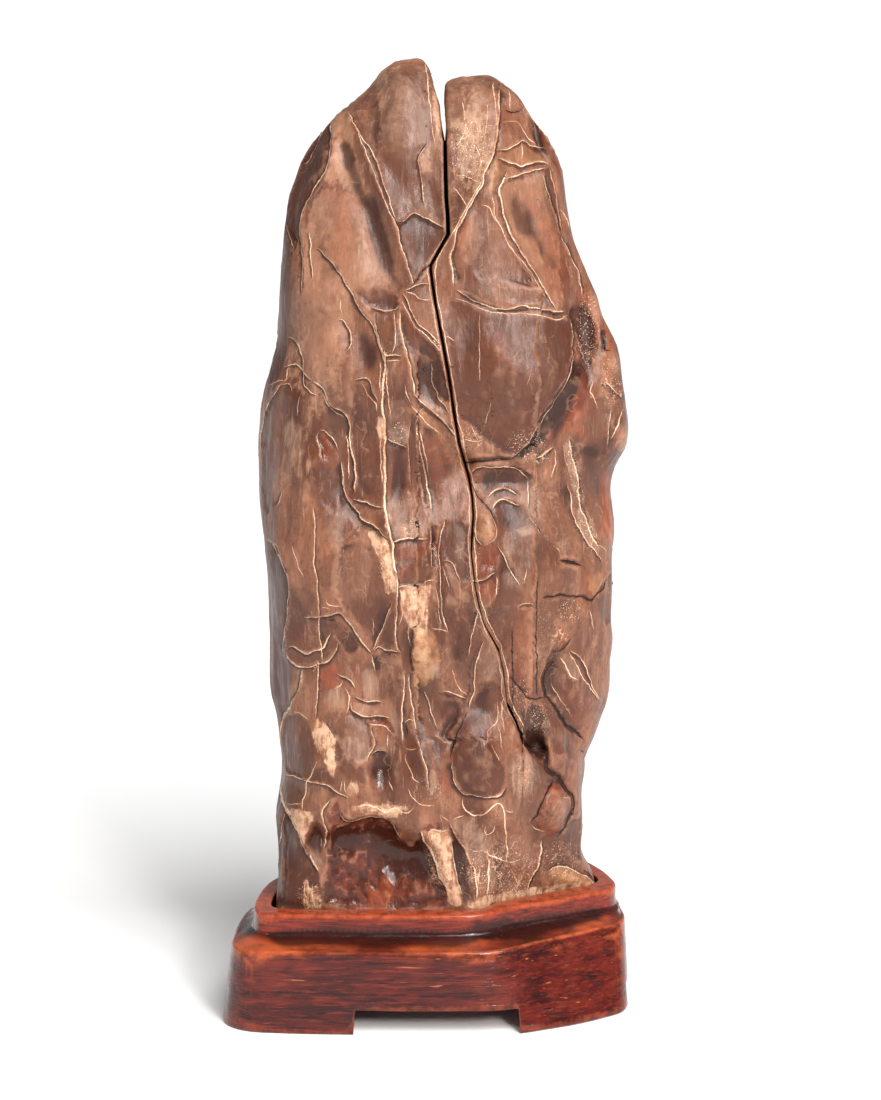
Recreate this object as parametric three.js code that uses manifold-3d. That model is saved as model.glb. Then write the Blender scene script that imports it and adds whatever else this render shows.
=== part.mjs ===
// A tall split scholar stone standing in the recess of a footed hardwood stand.
// Millimetres, +Z up, front towards -Y, origin on the resting plane below the middle of the stand.
import * as THREE from 'three';
import { mergeVertices } from 'three/addons/utils/BufferGeometryUtils.js';
import Module from 'manifold-3d';

// Driving heights of the stand, from the surface it rests on.
const FOOT_HEIGHT = 12.5;
const BODY_TOP = 43;
const RIM_FOOT = 47;
const RIM_TOP = 58;
const RECESS_FLOOR = 50;

// Roundings of the stand's edges.
const EDGE_ROUND = 1.5;
const SHOULDER_ROLL = 2.2;
const STEPS_PER_STRETCH = 3;
const FOOT_STEPS = 8;

// The arches between the feet, and how far their ends lean.
const ARCH_LEFT = -36;
const ARCH_RIGHT = 46.5;
const SIDE_ARCH_FRONT = -20;
const SIDE_ARCH_BACK = 20;
const ARCH_LEAN = 1.5;
const ARCH_BELOW = 5;
const ARCH_REACH = 140;

// The stone stands clear of the recess wall and floor by these gaps.
const WALL_CLEARANCE = 1.6;
const FLOOR_CLEARANCE = 0.3;
const STONE_FOOT = RECESS_FLOOR + FLOOR_CLEARANCE;

// Grid of the stone: rows from foot to top, columns left and right of the main fissure.
const ROWS = 48;
const GAP_ROW = 43;
const LEFT_COLUMNS = 21;
const RIGHT_COLUMNS = 15;
const EDGE_CROWDING = 0.62;
const EDGE_RADIUS = 40;
const RELIEF_FADE = 7;
const RELIEF_RISE = 25;
const LUMP_SKIRT = 1.2;
const ON_LINE = 0.3;
const CLOSEST_POINTS = 1.3;
const END_MARGIN = 0.01;
const BORDER_STEPS = 40;

// The faces leave the foot's outline over FOOT_BLEND, the front lies less deep towards the right, and
// the fissure stays shallower than the half thickness of the stone.
const FOOT_BLEND = 55;
const RIGHT_FRONT = [25, 95];
const RIGHT_FRONT_SHARE = 0.68;
const DEEPEST_SHARE = 0.9;

// Where the photographed view stands: readings below are columns and rows of that 881 x 1100 view.
const EYE = new THREE.Vector3(7, -1315, 470);
const LOOK_DOWN = THREE.MathUtils.degToRad(10);
const FOCAL = 85 / 36 * 1100;
const VIEW_COLUMN = 440.5;
const VIEW_ROW = 550;
const MM_PER_PIXEL = 0.51;

const lerp = THREE.MathUtils.lerp;
const smoothstep = THREE.MathUtils.smoothstep;

// The point of the plane y = depth that is seen at one column and row of the view.
function seenAt(column, row, depth) {
  const across = (column - VIEW_COLUMN) / FOCAL;
  const up = (VIEW_ROW - row) / FOCAL;
  const forward = Math.cos(LOOK_DOWN) + up * Math.sin(LOOK_DOWN);
  const rise = up * Math.cos(LOOK_DOWN) - Math.sin(LOOK_DOWN);
  const reach = (depth - EYE.y) / forward;
  return new THREE.Vector3(EYE.x + across * reach, depth, EYE.z + rise * reach);
}

// A point slid along its line of sight to another depth, so that it is seen at the same place.
function slide(point, depth) {
  const share = (depth - EYE.y) / (point.y - EYE.y);
  return new THREE.Vector3().lerpVectors(EYE, point, share);
}

// The column and row at which a point is seen.
function seenFrom(point) {
  const away = new THREE.Vector3().subVectors(point, EYE);
  const depth = away.y * Math.cos(LOOK_DOWN) - away.z * Math.sin(LOOK_DOWN);
  const up = away.y * Math.sin(LOOK_DOWN) + away.z * Math.cos(LOOK_DOWN);
  return new THREE.Vector2(VIEW_COLUMN + FOCAL * away.x / depth, VIEW_ROW - FOCAL * up / depth);
}

// Value of a hand-set curve given as [place, value] pairs.
function along(knots, place) {
  if (place <= knots[0][0]) return knots[0][1];
  for (let k = 1; k < knots.length; k += 1) {
    const [from, low] = knots[k - 1];
    const [to, high] = knots[k];
    if (place <= to) return THREE.MathUtils.mapLinear(place, from, to, low, high);
  }
  return knots[knots.length - 1][1];
}

// A closed mesh from a list of points and a list of corner triples, with doubled points merged.
function closedGeometry(points, corners) {
  const loose = new THREE.BufferGeometry();
  const places = points.flatMap((p) => [p.x, p.y, p.z]);
  loose.setAttribute('position', new THREE.Float32BufferAttribute(places, 3));
  loose.setIndex(corners.flat());
  const merged = mergeVertices(loose, 1e-3);
  const index = merged.getIndex().array;
  const kept = [];
  for (let k = 0; k < index.length; k += 3) {
    const [a, b, c] = [index[k], index[k + 1], index[k + 2]];
    if (a !== b && b !== c && c !== a) kept.push(a, b, c);
  }
  merged.setIndex(kept);
  return merged;
}

// Plans of the stand's four outlines, from the front left corner counter-clockwise as seen from above:
// a straight front, a step back at the right, round ends and a bowed back.
const FOOT_LINE = [
  [-92, -58.5], [-72, -62], [-34, -64], [8, -65], [30, -65], [42, -63.5], [51, -61], [60, -57], [77, -49],
  [91, -40], [102, -30.5], [105.7, -15], [105.7, 5], [104.5, 31], [97, 52], [80, 62.5], [44, 63.4], [4, 61.2],
  [-34, 58], [-66, 49], [-88, 34.5], [-100, 16], [-104.5, -4], [-105.5, -27], [-102.5, -49],
];
const BODY_LINE = [
  [-91, -58], [-70, -60], [-32, -60.5], [8, -61], [28, -60], [39, -57], [47, -51.5], [55, -45], [72, -34],
  [89, -22], [101, -12.5], [104.3, 0], [103.5, 14], [101, 33], [93, 51], [77, 60], [43, 61], [5, 59],
  [-31, 55], [-62, 46], [-82, 32], [-94, 14], [-98, -4], [-99.4, -25], [-99, -47],
];
const RIM_LINE = [
  [-84, -45], [-66, -47], [-30, -48], [8, -48], [24, -46.5], [33, -42.5], [40, -37], [48, -31.5], [66, -22],
  [84, -11.5], [96, -3.5], [99.7, 7], [97.5, 22], [93, 35.5], [85, 49.5], [72, 55], [42, 55], [6, 52.5],
  [-28, 48], [-56, 40], [-74, 28], [-83.5, 12], [-87.5, -6], [-89, -23], [-88.5, -36],
];
const RECESS_LINE = [
  [-78, -33], [-64, -36], [-30, -37], [4, -37], [24, -36.5], [31, -32], [36, -25.5], [43, -19.5], [60, -9],
  [76, 0], [87.5, 7.5], [90.5, 14], [88.5, 24], [83.5, 34.5], [76, 42], [65, 46], [40, 46], [8, 43.5],
  [-25, 39], [-51, 31.5], [-66.5, 21], [-74.5, 8], [-78.5, -7], [-80, -20], [-80, -28],
];

// A smooth closed line through the points of a plan, drawn in by `inset`.
function planLine(plan, inset, steps) {
  const curve = new THREE.CatmullRomCurve3(
    plan.map(([x, y]) => new THREE.Vector3(x, y, 0)),
    true,
    'centripetal',
  );
  const count = plan.length * steps;
  const line = [];
  for (let k = 0; k < count; k += 1) {
    const point = curve.getPoint(k / count);
    const tangent = curve.getTangent(k / count);
    line.push(new THREE.Vector2(point.x - tangent.y * inset, point.y + tangent.x * inset));
  }
  return line;
}

// The stand's levels from the underside up, over the shoulder and the rim, down to the recess floor.
const STAND_LEVELS = [
  { line: FOOT_LINE, height: 0, inset: EDGE_ROUND },
  { line: FOOT_LINE, height: EDGE_ROUND },
  { line: FOOT_LINE, towards: BODY_LINE, share: 0.35, height: 16 },
  { line: FOOT_LINE, towards: BODY_LINE, share: 0.9, height: BODY_TOP - 5 },
  { line: BODY_LINE, height: BODY_TOP - EDGE_ROUND },
  { line: BODY_LINE, height: BODY_TOP, inset: EDGE_ROUND },
  { line: BODY_LINE, towards: RIM_LINE, share: 0.55, height: BODY_TOP + SHOULDER_ROLL },
  { line: RIM_LINE, height: RIM_FOOT, inset: -1 },
  { line: RIM_LINE, height: RIM_FOOT + 1 },
  { line: RIM_LINE, height: RIM_TOP - EDGE_ROUND },
  { line: RIM_LINE, height: RIM_TOP, inset: EDGE_ROUND },
  { line: RECESS_LINE, height: RIM_TOP },
  { line: RECESS_LINE, height: RECESS_FLOOR },
];

function levelRing({ line, towards = line, share = 0, height, inset = 0 }) {
  const from = planLine(line, inset, STEPS_PER_STRETCH);
  const to = planLine(towards, inset, STEPS_PER_STRETCH);
  return from.map((p, k) => {
    const between = p.clone().lerp(to[k], share);
    return new THREE.Vector3(between.x, between.y, height);
  });
}

function standBlock() {
  const rings = STAND_LEVELS.map(levelRing);
  const sides = rings[0].length;
  const points = rings.flat();
  const corners = [];
  for (let ring = 0; ring + 1 < rings.length; ring += 1) {
    for (let side = 0; side < sides; side += 1) {
      const a = ring * sides + side;
      const b = ring * sides + (side + 1) % sides;
      corners.push([a, b, b + sides], [a, b + sides, a + sides]);
    }
  }
  const flat = (ring) => ring.map((p) => new THREE.Vector2(p.x, p.y));
  const top = (rings.length - 1) * sides;
  for (const [a, b, c] of THREE.ShapeUtils.triangulateShape(flat(rings[0]), [])) {
    corners.push([c, b, a]);
  }
  for (const [a, b, c] of THREE.ShapeUtils.triangulateShape(flat(rings[rings.length - 1]), [])) {
    corners.push([top + a, top + b, top + c]);
  }
  return closedGeometry(points, corners);
}

// The space of an arch: a long bar whose sides lean in towards the top.
function archSpace(from, to) {
  const shape = new THREE.Shape([
    new THREE.Vector2(from - ARCH_LEAN, -ARCH_BELOW),
    new THREE.Vector2(to + ARCH_LEAN, -ARCH_BELOW),
    new THREE.Vector2(to, FOOT_HEIGHT),
    new THREE.Vector2(from, FOOT_HEIGHT),
  ]);
  const space = new THREE.ExtrudeGeometry(shape, { depth: 2 * ARCH_REACH, bevelEnabled: false, steps: 1 });
  space.translate(0, 0, -ARCH_REACH);
  return space.rotateX(Math.PI / 2);
}

const solids = await Module();
solids.setup();

function toSolid(geometry) {
  const bare = geometry.clone();
  bare.deleteAttribute('normal');
  bare.deleteAttribute('uv');
  const merged = mergeVertices(bare, 1e-3);
  return new solids.Manifold(new solids.Mesh({
    numProp: 3,
    vertProperties: new Float32Array(merged.getAttribute('position').array),
    triVerts: new Uint32Array(merged.getIndex().array),
  }));
}

function fromSolid(solid) {
  const mesh = solid.getMesh();
  const geometry = new THREE.BufferGeometry();
  geometry.setAttribute('position', new THREE.BufferAttribute(mesh.vertProperties, 3));
  geometry.setIndex(new THREE.BufferAttribute(mesh.triVerts, 1));
  return geometry;
}

function standGeometry() {
  const sideSpace = archSpace(SIDE_ARCH_FRONT, SIDE_ARCH_BACK).rotateZ(Math.PI / 2);
  return fromSolid(toSolid(standBlock())
    .subtract(toSolid(archSpace(ARCH_LEFT, ARCH_RIGHT)))
    .subtract(toSolid(sideSpace)));
}

// Outer line of the stone as seen, left side from the foot up to the shoulder.
const LEFT_SIDE = [
  [277.7, 874], [278, 850], [278, 836], [276, 823], [276.4, 808], [277.7, 794], [281.5, 777], [281.3, 757],
  [278.7, 737], [278, 719], [272.6, 701], [269.5, 687], [269, 640], [268.7, 603], [267, 572], [263.6, 543],
  [258.5, 501], [258.3, 450], [260.4, 410], [263.4, 390], [269, 370], [276, 350], [278, 333], [279, 305],
  [281, 265], [283, 240], [286.5, 210], [289, 193], [295, 181], [299, 170], [302, 158],
];

// The sloping shoulder up to the left peak, then down its right wall into the open cleft.
const LEFT_TOP = [
  [302, 158], [311, 144], [325, 128], [337, 114], [352, 101], [367, 87], [373, 80], [379, 71], [386, 64],
  [400, 58.5], [414, 56], [421, 57],
];
const LEFT_WALL = [[421, 57], [426, 60], [429, 66], [432, 78], [435, 93], [439, 97], [441, 120], [443, 141]];

// The right peak: its wall in the cleft, its flat top, and the two lobes that step down to the right.
const RIGHT_WALL = [[447, 79], [444.5, 85], [445, 110], [446.5, 141]];
const RIGHT_TOP = [
  [447, 79], [460, 75], [485, 73], [498, 77], [503, 85], [513, 87], [521, 100], [525, 110], [534, 122],
  [538, 135], [538.5, 145],
];
const RIGHT_SIDE = [
  [596, 881], [588, 869], [581, 856], [582, 830], [581.5, 803], [579.6, 792], [584, 776], [583.3, 758],
  [588.7, 750], [592, 740], [597.5, 728], [603, 712], [610, 695], [611, 680], [609.5, 661], [613.7, 640],
  [611, 623], [612.7, 590], [612, 545], [617, 534], [613.7, 515], [610.5, 496], [612, 476], [618, 462],
  [626.5, 450], [630, 433], [627, 407], [623, 383], [620, 355], [614, 335], [603.5, 326], [602, 307],
  [592, 285], [584, 264], [576, 250], [570, 225], [566, 200], [563, 170], [552, 155], [538.5, 145],
];

// The main fissure, from the bottom of the open cleft down the front to the foot.
const FISSURE = [
  [445, 141], [446, 195], [449, 233], [442, 246], [430, 265], [434, 297], [444, 350], [450, 384],
  [454.6, 418], [459.7, 446], [471, 486], [473.5, 513], [471, 552], [476, 594], [484.6, 624],
  [499, 649], [505, 675], [505, 697], [520.7, 729], [523, 760], [520, 800], [517, 850], [516, 892],
];

// Width and depth of the fissure against the row at which it is seen.
const FISSURE_HALF_WIDTH = [
  [141, 1.0], [235, 1.1], [360, 1.6], [470, 1.5], [560, 1.1], [700, 0.9], [900, 0.6],
];
const FISSURE_DEPTH = [[141, 40], [235, 26], [420, 15], [600, 10], [730, 7], [790, 1.5], [840, 0], [900, 0]];
const BACK_FISSURE_DEPTH = [[141, 40], [230, 18], [330, 6], [400, 0], [900, 0]];

// Half thickness of the stone in front of and behind its outer line, against height.
const FRONT_DEPTH = [
  [50, 36], [90, 41], [118, 48], [160, 45], [215, 50], [262, 46], [318, 48], [362, 40], [400, 39], [438, 33],
  [468, 28], [490, 22],
];
const BACK_DEPTH = [
  [50, 42], [88, 43], [130, 50], [178, 45], [232, 51], [282, 52], [332, 43], [384, 41], [420, 32], [455, 29],
  [490, 20],
];
const LEFT_OUTLINE_DEPTH = [
  [50, -18], [100, -6], [165, 5], [235, -5], [300, 9], [365, -3], [430, 6], [490, 0],
];
const RIGHT_OUTLINE_DEPTH = [
  [50, 14], [100, 7], [150, 15], [210, 3], [270, 12], [330, -2], [400, 7], [490, 0],
];

// Raised ridges (positive) and open cracks (negative) of the front as seen: line, height, half width.
const FRONT_RIDGES = [
  { line: [[347, 111], [360, 137], [374, 173], [390, 213], [401, 245], [413, 283]], height: 4, width: 7 },
  { line: [[336, 118], [345, 150], [358, 190], [374, 232], [388, 272]], height: -3, width: 8 },
  { line: [[330, 122], [330, 155], [313, 191], [299, 230], [302, 260], [301, 295]], height: 3.5, width: 8 },
  { line: [[507, 172], [499, 190], [505, 218], [518, 246], [545, 290], [555, 308]], height: 3.5, width: 8 },
  { line: [[499, 90], [497, 135], [484, 175], [468, 209], [456, 238]], height: 3.5, width: 7 },
  { line: [[497, 154], [520, 146], [546, 152]], height: 3, width: 6 },
  { line: [[561, 237], [573, 260], [582, 296]], height: 3, width: 6 },
  { line: [[588, 290], [585, 330], [583, 375]], height: -4, width: 8 },
  { line: [[292, 392], [281, 385], [271, 399], [265, 413], [262, 450]], height: 3, width: 6 },
  { line: [[384, 350], [383, 395], [385, 452], [385, 507], [392, 542]], height: 2.5, width: 6 },
  { line: [[392, 542], [397, 598], [395, 635], [401, 653], [404, 690]], height: 2.5, width: 6 },
  { line: [[405, 352], [414, 395], [430, 409], [445, 422], [453, 434]], height: 3.2, width: 6 },
  { line: [[418, 416], [420, 452], [427, 486], [431, 514]], height: 2, width: 6 },
  { line: [[272, 541], [284, 568], [289, 587], [287, 620], [284, 652]], height: 3.5, width: 8 },
  { line: [[305, 673], [299, 690], [284, 716], [281, 728]], height: 3, width: 7 },
  { line: [[281, 774], [283, 801], [293, 822], [304, 846], [314, 868]], height: 4, width: 8 },
  { line: [[425, 826], [441, 840], [450, 870], [453, 890]], height: 8, width: 10 },
  { line: [[569, 438], [580, 487], [585, 518], [601, 548]], height: 2.5, width: 6 },
  { line: [[409, 672], [416, 713], [420, 744], [430, 790]], height: 2.5, width: 6 },
  { line: [[554, 660], [545, 674], [544, 694], [560, 716], [584, 740]], height: -4, width: 5 },
  { line: [[522, 742], [543, 750], [547, 770], [565, 788], [574, 800]], height: -6, width: 5 },
  { line: [[542, 597], [565, 595], [591, 601]], height: -4, width: 5 },
];

// Broken edges of the front as seen: the side on the right hand of the line, or on its left where the
// drop is negative, lies deeper and eases back over `reach`.
const FRONT_LEDGES = [
  { line: [[386, 378], [384, 365], [364, 317], [350, 290], [332, 261], [316, 247]], drop: -3.5, reach: 30 },
  { line: [[402, 306], [390, 311], [368, 306]], drop: 3, reach: 18 },
  {
    line: [[572, 318], [573, 350], [562, 392], [546, 414], [532, 443], [510, 460], [468, 462]],
    drop: -10,
    reach: 38,
  },
  { line: [[456, 290], [481, 304], [512, 308], [545, 310], [568, 315]], drop: 3.5, reach: 24 },
  {
    line: [[313, 380], [325, 395], [339, 409], [350, 425], [351, 452], [356, 494], [388, 539]],
    drop: 3,
    reach: 18,
  },
  { line: [[304, 618], [340, 612], [355, 633], [373, 660]], drop: 3.5, reach: 22 },
  { line: [[286, 654], [300, 668], [324, 664], [338, 648]], drop: 2.5, reach: 18 },
  { line: [[327, 832], [349, 823], [376, 816], [398, 829], [424, 834]], drop: 12, reach: 52 },
  { line: [[444, 690], [457, 697], [470, 701]], drop: 3, reach: 16 },
  { line: [[466, 583], [480, 581], [497, 573]], drop: 3, reach: 14 },
  { line: [[432, 540], [411, 539], [392, 542]], drop: -3, reach: 20 },
  { line: [[281, 776], [307, 782], [331, 787], [353, 799]], drop: 2.5, reach: 18 },
  { line: [[470, 700], [454, 740], [452, 769], [466, 792], [494, 796]], drop: -3, reach: 24 },
];

// Rounded swellings (positive) and hollows (negative) of the front: middle, half sizes and height.
const FRONT_LUMPS = [
  { middle: [425, 385], size: [20, 38], height: -5 },
  { middle: [388, 870], size: [58, 48], height: -5 },
  { middle: [382, 766], size: [19, 22], height: -5 },
  { middle: [536, 747], size: [14, 10], height: -9 },
  { middle: [478, 752], size: [32, 48], height: 4 },
  { middle: [486, 528], size: [14, 22], height: 4 },
  { middle: [615, 432], size: [18, 28], height: 6 },
  { middle: [400, 150], size: [36, 90], height: 3 },
  { middle: [345, 210], size: [28, 70], height: -3 },
  { middle: [515, 385], size: [48, 60], height: 4 },
  { middle: [608, 340], size: [10, 14], height: 6 },
  { middle: [520, 220], size: [26, 44], height: -2.5 },
  { middle: [430, 640], size: [16, 48], height: 3 },
  { middle: [300, 470], size: [34, 70], height: 3 },
  { middle: [340, 560], size: [30, 50], height: -2.5 },
  { middle: [580, 690], size: [26, 36], height: 3 },
  { middle: [552, 805], size: [16, 26], height: 4 },
];

// The same three kinds of form on the back, given where they lie behind the view.
const BACK_RIDGES = [
  { line: [[330, 140], [322, 210], [336, 290], [318, 360]], height: 4, width: 9 },
  { line: [[392, 96], [404, 180], [392, 262]], height: 3.5, width: 8 },
  { line: [[512, 120], [522, 205], [506, 280]], height: 4, width: 8 },
  { line: [[430, 300], [442, 380], [428, 450]], height: -4, width: 6 },
  { line: [[372, 470], [360, 560], [378, 650]], height: 4, width: 8 },
  { line: [[540, 470], [528, 560], [544, 640]], height: 4.5, width: 9 },
  { line: [[424, 560], [440, 640], [426, 720], [436, 790]], height: -4, width: 6 },
  { line: [[300, 640], [312, 720], [302, 800]], height: 4, width: 8 },
  { line: [[520, 700], [508, 770], [522, 850]], height: 4, width: 8 },
];
const BACK_LEDGES = [
  { line: [[352, 130], [366, 220], [350, 310], [368, 400], [356, 452]], drop: 5, reach: 32 },
  { line: [[470, 120], [458, 220], [476, 330], [464, 420]], drop: -5, reach: 34 },
  { line: [[566, 240], [552, 330], [570, 420], [556, 500]], drop: 5, reach: 28 },
  { line: [[330, 520], [318, 600], [334, 690]], drop: -4, reach: 26 },
  { line: [[484, 500], [470, 590], [490, 680], [476, 760]], drop: 5, reach: 32 },
  { line: [[296, 372], [340, 380], [388, 368], [430, 378]], drop: 4, reach: 26 },
  { line: [[440, 474], [490, 486], [548, 474]], drop: 4, reach: 26 },
  { line: [[290, 590], [340, 600], [400, 588]], drop: 3.5, reach: 24 },
  { line: [[400, 735], [455, 748], [512, 736]], drop: 4, reach: 24 },
  { line: [[296, 812], [352, 824], [420, 812], [490, 826], [556, 812]], drop: 6, reach: 34 },
];
const BACK_LUMPS = [
  { middle: [350, 500], size: [40, 60], height: 5 },
  { middle: [520, 400], size: [40, 70], height: 5 },
  { middle: [400, 680], size: [36, 60], height: -5 },
  { middle: [560, 620], size: [26, 50], height: -4 },
  { middle: [310, 280], size: [26, 60], height: -4 },
];

// Nearest place of a line to a point: distance, and on which side of the line the point lies.
function nearestOn(line, x, y) {
  let best = { distance: Infinity, side: 1 };
  for (let k = 1; k < line.length; k += 1) {
    const [ax, ay] = line[k - 1];
    const [bx, by] = line[k];
    const lengthSquared = (bx - ax) ** 2 + (by - ay) ** 2;
    const share = THREE.MathUtils.clamp(((x - ax) * (bx - ax) + (y - ay) * (by - ay)) / lengthSquared, 0, 1);
    const distance = Math.hypot(x - lerp(ax, bx, share), y - lerp(ay, by, share));
    if (distance < best.distance) {
      const side = Math.sign((bx - ax) * (y - ay) - (by - ay) * (x - ax)) || 1;
      best = { distance, side };
    }
  }
  return best;
}

const FORMS = {
  '-1': { ridges: FRONT_RIDGES, ledges: FRONT_LEDGES, lumps: FRONT_LUMPS },
  '1': { ridges: BACK_RIDGES, ledges: BACK_LEDGES, lumps: BACK_LUMPS },
};

// Height of the relief of the front (-1) or the back (+1) at one column and row.
function reliefAt(column, row, way) {
  const { ridges, ledges, lumps } = FORMS[way];
  let height = 0;
  for (const form of ridges) {
    const away = nearestOn(form.line, column, row).distance * MM_PER_PIXEL;
    height += form.height * Math.max(0, 1 - away / form.width);
  }
  for (const form of ledges) {
    const near = nearestOn(form.line, column, row);
    const away = near.distance * MM_PER_PIXEL;
    const low = away > ON_LINE && near.side * Math.sign(form.drop) > 0 ? 1 : 0;
    height -= low * Math.abs(form.drop) * Math.max(0, 1 - away / form.reach) ** 2;
  }
  for (const form of lumps) {
    const [halfAcross, halfUp] = form.size;
    const away = Math.hypot((column - form.middle[0]) / halfAcross, (row - form.middle[1]) / halfUp);
    height += form.height * (1 - smoothstep(away, 0, LUMP_SKIRT));
  }
  return height;
}

const leftDepth = (height) => along(LEFT_OUTLINE_DEPTH, height);
const rightDepth = (height) => along(RIGHT_OUTLINE_DEPTH, height);
const middleDepth = (height) => (leftDepth(height) + rightDepth(height)) / 2;

// Readings placed in space on the plane where the stone's outer line runs at their height.
function placed(readings, depthAt) {
  return readings.map(([column, row]) => {
    const height = seenAt(column, row, 0).z;
    return seenAt(column, row, depthAt(height));
  });
}

// A line of points as a function of its length share, from 0 to 1.
function lineOf(points) {
  const lengths = [0];
  for (let k = 1; k < points.length; k += 1) {
    lengths.push(lengths[k - 1] + points[k].distanceTo(points[k - 1]));
  }
  const whole = lengths[lengths.length - 1];
  return (share) => {
    const place = THREE.MathUtils.clamp(share, 0, 1) * whole;
    let k = 1;
    while (k < points.length - 1 && lengths[k] < place) k += 1;
    const part = (place - lengths[k - 1]) / (lengths[k] - lengths[k - 1]);
    return new THREE.Vector3().lerpVectors(points[k - 1], points[k], part);
  };
}

// The foot of the stone: the recess line drawn in by the wall clearance, split at its two ends.
const footLine = planLine(RECESS_LINE, WALL_CLEARANCE, FOOT_STEPS);
const footLeft = footLine.reduce((a, b) => (b.x < a.x ? b : a));
const footRight = footLine.reduce((a, b) => (b.x > a.x ? b : a));

// Front (-1) or back (+1) edge of the foot at a place across.
function footEdge(across, way) {
  const x = THREE.MathUtils.clamp(across, footLeft.x + END_MARGIN, footRight.x - END_MARGIN);
  let edge = 0;
  let best = -Infinity;
  for (let k = 0; k < footLine.length; k += 1) {
    const a = footLine[k];
    const b = footLine[(k + 1) % footLine.length];
    if ((a.x - x) * (b.x - x) > 0 || a.x === b.x) continue;
    const y = lerp(a.y, b.y, (x - a.x) / (b.x - a.x));
    if (y * way > best) {
      best = y * way;
      edge = y;
    }
  }
  return edge;
}

const leftFoot = new THREE.Vector3(footLeft.x, footLeft.y, STONE_FOOT);
const rightFoot = new THREE.Vector3(footRight.x, footRight.y, STONE_FOOT);
const leftSide = [leftFoot, ...placed(LEFT_SIDE, leftDepth)];
const leftTop = placed(LEFT_TOP, middleDepth);
const rightTop = placed(RIGHT_TOP, middleDepth);
const rightSide = [rightFoot, ...placed(RIGHT_SIDE, rightDepth)];
leftTop[0] = leftSide[leftSide.length - 1];
rightTop[rightTop.length - 1] = rightSide[rightSide.length - 1];
const leftWall = placed(LEFT_WALL, middleDepth).reverse();
const rightWall = placed(RIGHT_WALL, middleDepth).reverse();
leftTop[leftTop.length - 1] = leftWall[leftWall.length - 1];
rightTop[0] = rightWall[rightWall.length - 1];
const fissure = placed(FISSURE, middleDepth).reverse();
const outerLine = [...leftSide, ...leftTop.slice(1), ...rightTop, ...rightSide.slice(0, -1).reverse()]
  .map((p) => [p.x, p.z]);

// Columns crowded towards the outer line, where the surface turns back.
function crowd(share) {
  return lerp(share, 1 - Math.cos(share * Math.PI / 2), EDGE_CROWDING);
}

// Patch spanned between four border lines: bottom, top, left and right.
function span(bottom, top, left, right, s, t) {
  const across = new THREE.Vector3().lerpVectors(left(t), right(t), s);
  const up = new THREE.Vector3().lerpVectors(bottom(s), top(s), t);
  const low = new THREE.Vector3().lerpVectors(bottom(0), bottom(1), s);
  const high = new THREE.Vector3().lerpVectors(top(0), top(1), s);
  return across.add(up).sub(low.lerp(high, t));
}

// One lip of the fissure, from the foot to the top of the cleft, moved sideways by half its width.
function lipLine(wall, way) {
  const lower = lineOf(fissure);
  const upper = lineOf(wall);
  const gapShare = GAP_ROW / ROWS;
  return (t) => {
    if (t > gapShare) return upper((t - gapShare) / (1 - gapShare));
    const point = lower(t / gapShare);
    const seen = seenFrom(point);
    point.x += way * along(FISSURE_HALF_WIDTH, seen.y);
    return point;
  };
}

// The border along the foot, as places on the outline plane that lead to the foot's edge.
function footBorder(from, to, way) {
  const points = [];
  for (let k = 0; k <= BORDER_STEPS; k += 1) {
    const x = lerp(from, to, k / BORDER_STEPS);
    const edge = new THREE.Vector3(x, footEdge(x, way), STONE_FOOT);
    points.push(way < 0 ? slide(edge, outlineDepth(edge)) : edge);
  }
  return points;
}

// Depth of the outline plane at a place: it leans from the left outline to the right one.
function outlineDepth(point) {
  const share = THREE.MathUtils.clamp((point.x - footLeft.x) / (footRight.x - footLeft.x), 0, 1);
  return lerp(leftDepth(point.z), rightDepth(point.z), share);
}

// Front (-1) or back (+1) face at a place of the outline plane.
function faceDepth(place, way) {
  const away = nearestOn(outerLine, place.x, place.z).distance;
  const turn = Math.sqrt(1 - (1 - Math.min(away / EDGE_RADIUS, 1)) ** 2);
  const knots = way < 0 ? FRONT_DEPTH : BACK_DEPTH;
  const recede = way < 0 ? lerp(1, RIGHT_FRONT_SHARE, smoothstep(place.x, ...RIGHT_FRONT)) : 1;
  const body = outlineDepth(place) + way * along(knots, place.z) * turn * recede;
  const foot = footEdge(place.x, way);
  const depth = lerp(foot, body, smoothstep(place.z, STONE_FOOT, STONE_FOOT + FOOT_BLEND));
  const seen = seenFrom(place);
  const relief = reliefAt(seen.x, seen.y, way);
  const rise = smoothstep(place.z, STONE_FOOT, STONE_FOOT + RELIEF_RISE);
  const fade = smoothstep(away, 0, RELIEF_FADE) * rise;
  return depth + way * relief * fade;
}

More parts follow.
